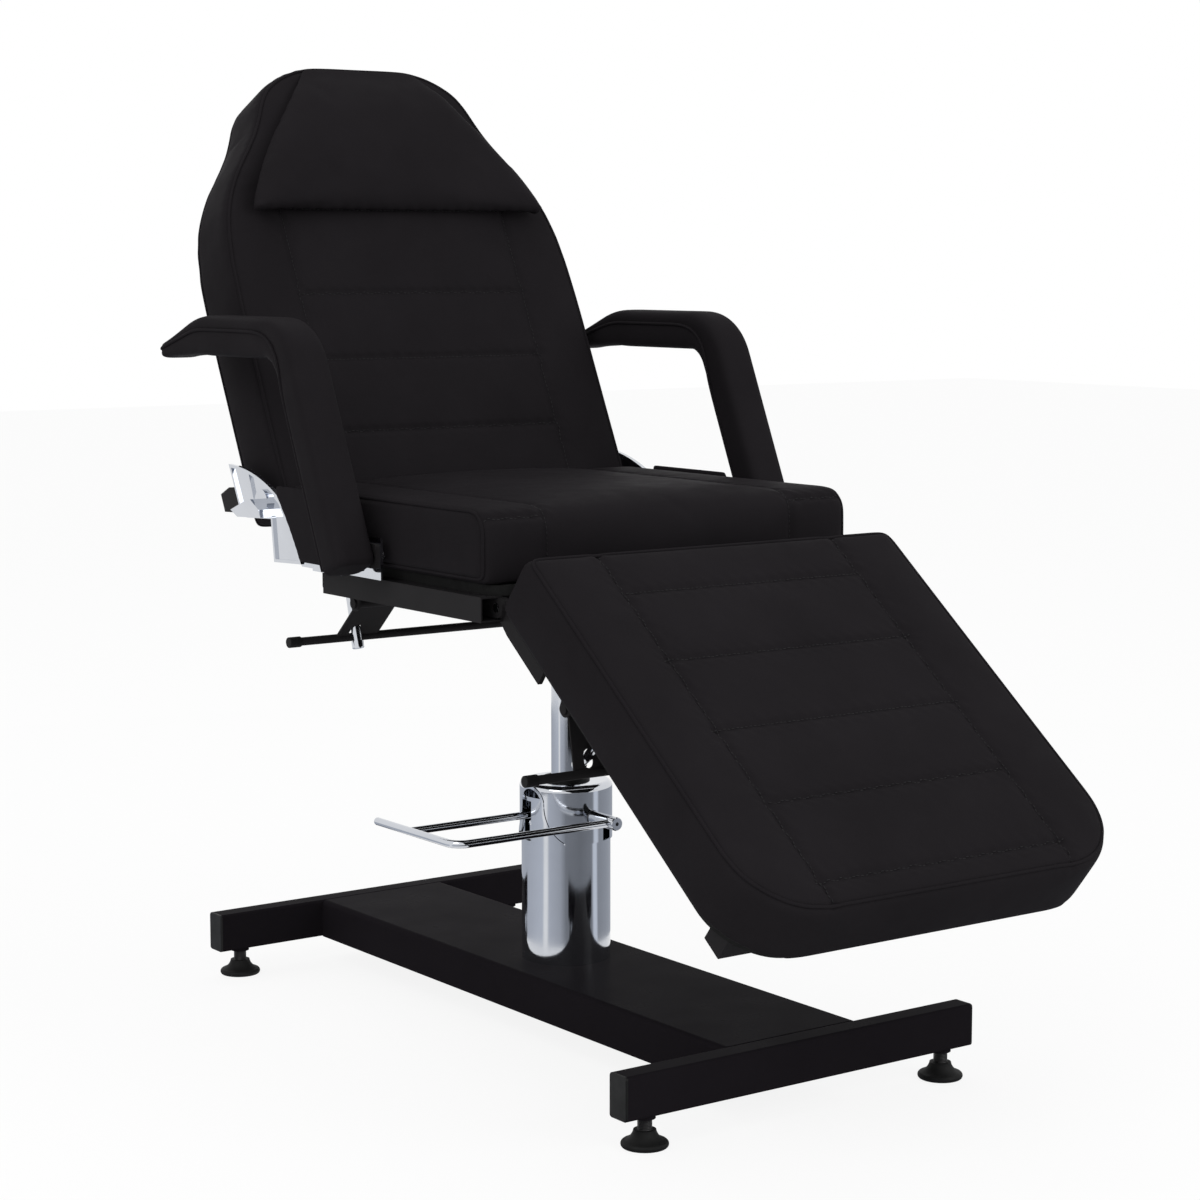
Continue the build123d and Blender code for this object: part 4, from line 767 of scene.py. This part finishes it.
class CHAIR_OT_seat_pad(bpy.types.Operator):
    """Make the seat cushion with its end panels and waterfall front"""
    bl_idname = "chair.seat_pad"
    bl_label = "Seat Cushion"

    def execute(self, context):
        lines = [([(s * SEAT_SEAM_AT, y, z) for y, z in SEAT_SEAM], False) for s in SIDES]
        lines += [([(s * x, y, z) for x, y, z in SEAT_FRONT_SEAM], False) for s in SIDES]
        (y, z), radius = SEAT_CORNER, SEAT_CORNER_RADIUS
        corner = [(y - radius * sin(a), z + radius * cos(a)) for a in (i * pi / 16 for i in range(9))]
        loop = [*SEAT_PANEL_REAR, *corner, SEAT_PANEL_FRONT]
        welts = [([(s * SEAT_PANEL_AT, y, z) for y, z in loop], True) for s in SIDES]
        item = padded_cushion("seat_pad", "seat_cushion", SEAT_AXES, lines, welts, SEAT_HOLD)
        sew(item, "seat_pad", "seat", lines, welts, SEAT_AXES, "seat_cushion")
        return {"FINISHED"}


class CHAIR_OT_back_pad(bpy.types.Operator):
    """Make the waisted back cushion with its bolsters and cross channels"""
    bl_idname = "chair.back_pad"
    bl_label = "Back Cushion"

    def execute(self, context):
        lines = channelled(BACK_FACE, BACK_SEAM_AT, BACK_SEAM_ENDS, BACK_CHANNELS)
        rim = rim_of("back_cushion", BACK_AXES, BACK_WALL, BACK_FACE - RIM_INSET, RIM_INSET)
        rear = rim_of("back_cushion", BACK_AXES, BACK_WALL, BACK_REAR_RIM, 0.0)
        item = padded_cushion("back_pad", "back_cushion", BACK_AXES, lines, [(rim, True)], BACK_HOLD)
        welts = [(rim, True), (rear, True)]
        sew(item, "back_pad", "back", lines, welts, BACK_AXES, "back_cushion")
        return {"FINISHED"}


class CHAIR_OT_head_pillow(bpy.types.Operator):
    """Make the head pillow that thins out towards the top of the back"""
    bl_idname = "chair.head_pillow"
    bl_label = "Head Pillow"

    def execute(self, context):
        foam = context.scene.chair_foam
        item = foam_start("pillow_pad", "head_pillow", BACK_AXES, foam.fine_voxel, foam.draw_in)
        puffed(item, rim_of("head_pillow", BACK_AXES, PILLOW_WALL, 0.0, 0.0), PILLOW_ROLL, PILLOW_CROWN)
        rows = points_of(item.data)
        base = rows[:, 2].min()
        thinned = 1 - PILLOW_THIN * smooth_step(rows[:, 1], *PILLOW_THIN_SPAN)
        rows[:, 2] = base + (rows[:, 2] - base) * thinned
        rows[:, 2] -= PILLOW_BEND * smooth_step(rows[:, 1], *PILLOW_BEND_SPAN)
        set_points(item.data, rows)
        swelled(item, held_down(rows, rows[:, 2].min() + SMALL_HOLD), PILLOW_PRESSURE, PILLOW_SWELL)
        even = item.modifiers.new("Even", "SMOOTH")
        even.factor, even.iterations = 0.5, PILLOW_EVENING
        item = subdivided(baked(item, "pillow_pad", "leatherette"))
        across, along, out = PILLOW_SEAM
        seam = [(s * across, along, out) for s in SIDES]
        sew(item, "pillow_pad", "back", [(seam, False)], [], BACK_AXES, "head_pillow")
        return {"FINISHED"}


class CHAIR_OT_leg_pad(bpy.types.Operator):
    """Make the leg rest cushion with its channels and welted rim"""
    bl_idname = "chair.leg_pad"
    bl_label = "Leg Cushion"

    def execute(self, context):
        lines = channelled(LEG_FACE, LEG_SEAM_AT, LEG_SEAM_ENDS, LEG_CHANNELS)
        rim = rim_of("leg_cushion", LEG_AXES, LEG_WALL, LEG_FACE - RIM_INSET, RIM_INSET)
        item = padded_cushion("leg_pad", "leg_cushion", LEG_AXES, lines, [(rim, True)], LEG_HOLD)
        sew(item, "leg_pad", "leg_rest", lines, [(rim, True)], LEG_AXES, "leg_cushion")
        return {"FINISHED"}


def rounded_path(points, radii, step):
    """Points and directions along a bent line whose corners are arcs."""
    corners = [Vector(p) for p in points]
    rows = [corners[0]]
    for i, radius in enumerate(radii, start=1):
        before = (corners[i - 1] - corners[i]).normalized()
        after = (corners[i + 1] - corners[i]).normalized()
        half = before.angle(after) / 2
        reach = radius / np.tan(half)
        middle = corners[i] + (before + after).normalized() * (radius / sin(half))
        first, last = corners[i] + before * reach - middle, corners[i] + after * reach - middle
        sweep = first.angle(last)
        for share in (k / 24 for k in range(25)):
            arm = (first * sin((1 - share) * sweep) + last * sin(share * sweep)) / sin(sweep)
            rows.append(middle + arm)
    rows.append(corners[-1])
    rows = evened([(0.0, p[0], p[1]) for p in rows], step)[:, 1:]
    ahead = np.gradient(rows, axis=0)
    return rows, ahead / np.linalg.norm(ahead, axis=1)[:, None]


class CHAIR_OT_arm_pads(bpy.types.Operator):
    """Make both padded arms along their bent line"""
    bl_idname = "chair.arm_pads"
    bl_label = "Arm Pads"

    def execute(self, context):
        rows, ahead = rounded_path(ARM_LINE, ARM_BENDS, ARM_STEP)
        reach = np.concatenate([[0], np.cumsum(np.linalg.norm(np.diff(rows, axis=0), axis=1))])
        length = reach[-1]

        def place(side, at, a, b):
            y, z = (np.interp(at, reach, rows[:, i]) for i in (0, 1))
            dy, dz = (np.interp(at, reach, ahead[:, i]) for i in (0, 1))
            size = (dy ** 2 + dz ** 2) ** 0.5
            return (side * (ARM_CENTRE + a), y - b * dz / size, z + b * dy / size)

        def thinned(at):
            return 1 - ARM_THIN * smooth_step(at, length - ARM_THIN_LENGTH, length)

        def ring(side, at, drawn):
            wide = ARM_HALF_WIDTH * (1 - drawn * 0.75)
            deep = ARM_HALF_DEPTH * thinned(at) * (1 - drawn * 0.85)
            corners = []
            for k in range(ARM_RING):
                angle = 2 * pi * (k + 0.5) / ARM_RING
                c, s = cos(angle), sin(angle)
                corners.append(place(side, at, np.sign(c) * abs(c) ** ARM_SQUARENESS * wide,
                                     np.sign(s) * abs(s) ** ARM_SQUARENESS * deep))
            return corners

        stations = [(ARM_FOOT * (1 - cos(a)), 0.3 * (1 - sin(a))) for a in (i * pi / 10 for i in range(6))]
        stations += [(at, 0.0) for at in np.linspace(ARM_FOOT, length - ARM_TIP, ARM_STATIONS)[1:]]
        stations += [(length - ARM_TIP * (1 - sin(a)), 1 - cos(a))
                     for a in (i * pi / 16 for i in range(1, 9))]
        for side, name in ((-1, "right_arm_pad"), (1, "left_arm_pad")):
            cover = name.replace("_pad", "_cover")
            verts = [point for at, drawn in stations for point in ring(side, at, drawn)]
            faces = []
            for i in range(0, len(verts) - ARM_RING, ARM_RING):
                for k in range(ARM_RING):
                    j = (k + 1) % ARM_RING
                    faces.append((i + k, i + j, i + ARM_RING + j, i + ARM_RING + k))
            for base in (0, (len(stations) - 1) * ARM_RING):
                verts.append(tuple(np.mean(verts[base:base + ARM_RING], axis=0)))
                faces += [(base + k, base + (k + 1) % ARM_RING, len(verts) - 1) for k in range(ARM_RING)]
            mesh = bpy.data.meshes.new(name)
            mesh.from_pydata(verts, [], faces)
            shape = bmesh.new()
            shape.from_mesh(mesh)
            bmesh.ops.recalc_face_normals(shape, faces=shape.faces)
            shape.to_mesh(mesh)
            shape.free()
            item = subdivided(put_in_scene(cover, mesh, "leatherette"))
            item.name = cover
            welts = []
            for way in SIDES:
                line = []
                for at in np.linspace(ARM_WELT_ENDS[0], length - ARM_WELT_ENDS[1], ARM_WELT_POINTS):
                    level = ARM_WELT_LEVEL - ARM_WELT_DROP * (1 - smooth_step(at, *ARM_WELT_RISE))
                    line.append(place(side, at, way * ARM_HALF_WIDTH, level * thinned(at)))
                welts.append((np.array(line, float), False))
            sew(item, item.name, "seat", [], welts, SEAT_AXES, name)
        return {"FINISHED"}


class CHAIR_OT_side_panels(bpy.types.Operator):
    """Make the upholstered panels between the arms and the brackets"""
    bl_idname = "chair.side_panels"
    bl_label = "Side Panels"

    def execute(self, context):
        for side, name in ((-1, "right_side_panel"), (1, "left_side_panel")):
            axes = cushion_axes(Vector((0, 0, 0)), (0, side, 0), (0, 0, 1), (side, 0, 0))
            item = foam_start(name.replace("_panel", "_pad"), name, axes, PANEL_VOXEL, PANEL_DRAW_IN)
            rows = points_of(item.data)
            swelled(item, held_down(rows, rows[:, 2].min() + SMALL_HOLD), PANEL_PRESSURE, PANEL_SWELL)
            item = subdivided(item)
            item.data.transform(axes)
            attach(item, "seat")
            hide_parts(name)
        return {"FINISHED"}


class CHAIR_OT_linings(bpy.types.Operator):
    """Staple the black lining round the back board and the leg board"""
    bl_idname = "chair.linings"
    bl_label = "Lining Staples"

    def execute(self, context):
        for name, node, body, axes, face, start in (
                ("back_staples", "back_board", "back", BACK_AXES, -0.0919, 0.062),
                ("leg_staples", "leg_board", "leg_rest", LEG_AXES, 0.0125, 0.066)):
            rim = rim_of(node, axes, (face - 0.001, face + 0.013), face - 0.0003, STAPLE_INSET)
            kept = rim[:, 1] > start
            first = int(np.argmax(~kept))
            rolled, kept = np.roll(rim, -first, axis=0), np.roll(kept, -first)
            staple = capsule("one_staple", STAPLE_LENGTH, STAPLE_WIRE, 0)
            piece = grown(wire(name, [(rolled[kept], False)]), row_tree, "bolt_steel", Pitch=STAPLE_PITCH,
                          Part=staple)
            bpy.data.objects.remove(staple)
            piece.data.transform(axes)
            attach(piece, body)
        return {"FINISHED"}


class CHAIR_OT_frame_screws(bpy.types.Operator):
    """Put the screws that hold the boards on the frames' tubes"""
    bl_idname = "chair.frame_screws"
    bl_label = "Board Screws"

    def execute(self, context):
        head = screw_head("one_screw", SCREW_RADIUS, SCREW_HEIGHT)
        for name, body, axes, face, rail, places in (
                ("back_screws", "back", BACK_AXES, -0.1169, 0.150, (0.10, 0.22, 0.40, 0.50)),
                ("leg_screws", "leg_rest", LEG_AXES, -0.0175, 0.190, (0.28, 0.37, 0.46))):
            spots = np.array([(s * rail, place, face) for s in SIDES for place in places], float)
            item = wire(name, [(spots[i:i + 1], False) for i in range(len(spots))])
            piece = grown(item, spot_tree, "bolt_steel", Turn=(pi, 0.0, 0.0), Part=head)
            piece.data.transform(axes)
            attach(piece, body)
        bpy.data.objects.remove(head)
        return {"FINISHED"}


class CHAIR_OT_hard_finishes(bpy.types.Operator):
    """Give every metal, rubber and lined piece its finish"""
    bl_idname = "chair.hard_finishes"
    bl_label = "Hard Finishes"

    def execute(self, context):
        slot_of = {row["node"]: row["material_slot"] for row in frame["record"]["subparts"]}
        for name, node in frame["nodes"].items():
            finish = "screw_thread" if name.startswith("foot_stem") else slot_of[name]
            node.data.materials.clear()
            node.data.materials.append(finish_of(finish))
        return {"FINISHED"}


def grey_ring(grey):
    """A ring of greys on the floor that only the plated steel sees, streaked by its turn round the pump."""
    rows = [(reach * cos(2 * pi * i / RING_STEPS), reach * sin(2 * pi * i / RING_STEPS), RING_LEVEL)
            for reach in (RING_INNER, RING_OUTER) for i in range(RING_STEPS)]
    faces = [(i, (i + 1) % RING_STEPS, RING_STEPS + (i + 1) % RING_STEPS, RING_STEPS + i)
             for i in range(RING_STEPS)]
    mesh = bpy.data.meshes.new("grey_ring")
    mesh.from_pydata(rows, [], faces)
    ring = linked("grey_ring", mesh)
    ring.visible_camera = ring.visible_diffuse = ring.visible_shadow = False
    material, tree, shader = fresh_material("grey_ring")
    place = add_node(tree, "ShaderNodeTexCoord").outputs["Object"]
    turn = add_node(tree, "ShaderNodeMapping", {"Vector": place, "Rotation": (0.0, 0.0, RING_TURN)})
    around = add_node(tree, "ShaderNodeTexGradient", {"Vector": turn.outputs["Vector"]},
                      gradient_type="RADIAL")
    ramp = add_node(tree, "ShaderNodeValToRGB", {"Fac": around.outputs["Color"]})
    stops = ramp.color_ramp.elements
    stops[0].color = stops[1].color = (*[c * RING_STOPS[0][1] for c in grey], 1)
    for at, level in RING_STOPS[1:]:
        stops.new(at).color = (*[min(c * level, 1) for c in grey], 1)
    fed(tree, shader, {"Base Color": (0, 0, 0, 1), "Specular IOR Level": 0, "Emission Strength": 1.0,
                       "Emission Color": ramp.outputs["Color"]})
    mesh.materials.append(material)
    return ring


def larger_of(tree, first, *others):
    """The largest of some values."""
    for value in others:
        first = add_node(tree, "ShaderNodeMath", {0: first, 1: value}, operation="MAXIMUM").outputs["Value"]
    return first


class CHAIR_OT_studio(bpy.types.Operator):
    """Set up the camera, the lamps, the floor and the room's light"""
    bl_idname = "chair.studio"
    bl_label = "Studio"

    def execute(self, context):
        studio = context.scene.chair_studio
        scene = context.scene
        scene.view_settings.view_transform = "Standard"
        eye = bpy.data.cameras.new("camera")
        eye.lens, eye.sensor_width = studio.focal_length, 36.0
        scene.camera = linked("camera", eye)
        scene.camera.location = studio.camera_place
        scene.camera.rotation_euler = Euler((pi / 2 - studio.camera_tilt, 0.0, studio.camera_turn))
        for name, place, size, setting in LAMPS:
            lamp = bpy.data.lights.new(name, "AREA")
            lamp.shape, lamp.size, lamp.energy = "DISK", size, getattr(studio, setting)
            made = linked(name, lamp)
            made.location = place
            made.rotation_euler = (LAMP_TARGET - Vector(place)).to_track_quat("-Z", "Y").to_euler()
        sheet = bpy.data.meshes.new("floor")
        sheet.from_pydata([(x * FLOOR_REACH, y * FLOOR_REACH, FLOOR_LEVEL)
                           for x, y in ((-1, -1), (1, -1), (1, 1), (-1, 1))], [], [(0, 1, 2, 3)])
        linked("floor", sheet)
        grey_ring(studio.grey)
        material, tree, shader = fresh_material("pale_floor")
        fed(tree, shader, {"Base Color": (*studio.floor, 1), "Roughness": 0.8, "Specular IOR Level": 0.1})
        rays = add_node(tree, "ShaderNodeLightPath").outputs
        seen = larger_of(tree, rays["Is Camera Ray"], rays["Is Glossy Ray"])
        share = add_node(tree, "ShaderNodeMath", {0: seen, 1: FLOOR_WHITE_SHARE}, operation="MULTIPLY")
        white = add_node(tree, "ShaderNodeEmission", {"Color": (1, 1, 1, 1), "Strength": FLOOR_WHITE})
        both = add_node(tree, "ShaderNodeMixShader", {
            "Fac": share.outputs["Value"], 1: shader.outputs["BSDF"], 2: white.outputs["Emission"]})
        fed(tree, tree.nodes["Material Output"], {"Surface": both.outputs["Shader"]})
        sheet.materials.append(material)
        world = bpy.data.worlds.new("room")
        world.use_nodes = True
        scene.world = world
        tree = world.node_tree
        rays = add_node(tree, "ShaderNodeLightPath").outputs
        seen = larger_of(tree, rays["Is Camera Ray"], rays["Is Glossy Ray"], rays["Is Transmission Ray"])
        level = add_node(tree, "ShaderNodeMapRange", {"Value": seen, "To Min": studio.sky, "To Max": 1.0})
        fed(tree, tree.nodes["Background"], {"Color": (1, 1, 1, 1), "Strength": level.outputs["Result"]})
        return {"FINISHED"}


MAKERS = (CHAIR_OT_hard_finishes, CHAIR_OT_seat_pad, CHAIR_OT_back_pad, CHAIR_OT_head_pillow,
          CHAIR_OT_leg_pad, CHAIR_OT_arm_pads, CHAIR_OT_side_panels, CHAIR_OT_linings,
          CHAIR_OT_frame_screws, CHAIR_OT_studio)
SETTINGS = (("chair_cover", CoverLooks), ("chair_foam", FoamSettings), ("chair_metal", MetalLooks),
            ("chair_studio", StudioSettings))


class CHAIR_PT_panel(bpy.types.Panel):
    """Lists the chair's makers and their settings"""
    bl_idname = "CHAIR_PT_panel"
    bl_label = "Tattoo Chair"
    bl_space_type = "VIEW_3D"
    bl_region_type = "UI"
    bl_category = "Chair"

    def draw(self, context):
        for maker in MAKERS:
            self.layout.operator(maker.bl_idname)
        for name, kind in SETTINGS:
            box = self.layout.box()
            box.label(text=kind.__name__)
            for label in kind.__annotations__:
                box.prop(getattr(context.scene, name), label)


def register():
    """Registers the settings, the operators and the panel."""
    for name, kind in SETTINGS:
        bpy.utils.register_class(kind)
        setattr(bpy.types.Scene, name, bpy.props.PointerProperty(type=kind))
    for kind in (*MAKERS, CHAIR_PT_panel):
        bpy.utils.register_class(kind)


def unregister():
    """Takes them away again."""
    for kind in (CHAIR_PT_panel, *reversed(MAKERS)):
        bpy.utils.unregister_class(kind)
    for name, kind in reversed(SETTINGS):
        delattr(bpy.types.Scene, name)
        bpy.utils.unregister_class(kind)


def main():
    """Makes everything in order."""
    register()
    for maker in MAKERS:
        group, call = maker.bl_idname.split(".")
        done = getattr(getattr(bpy.ops, group), call)()
        if done != {"FINISHED"}:
            raise RuntimeError(f"{maker.bl_label} did not finish")


if __name__ == "__main__":
    main()
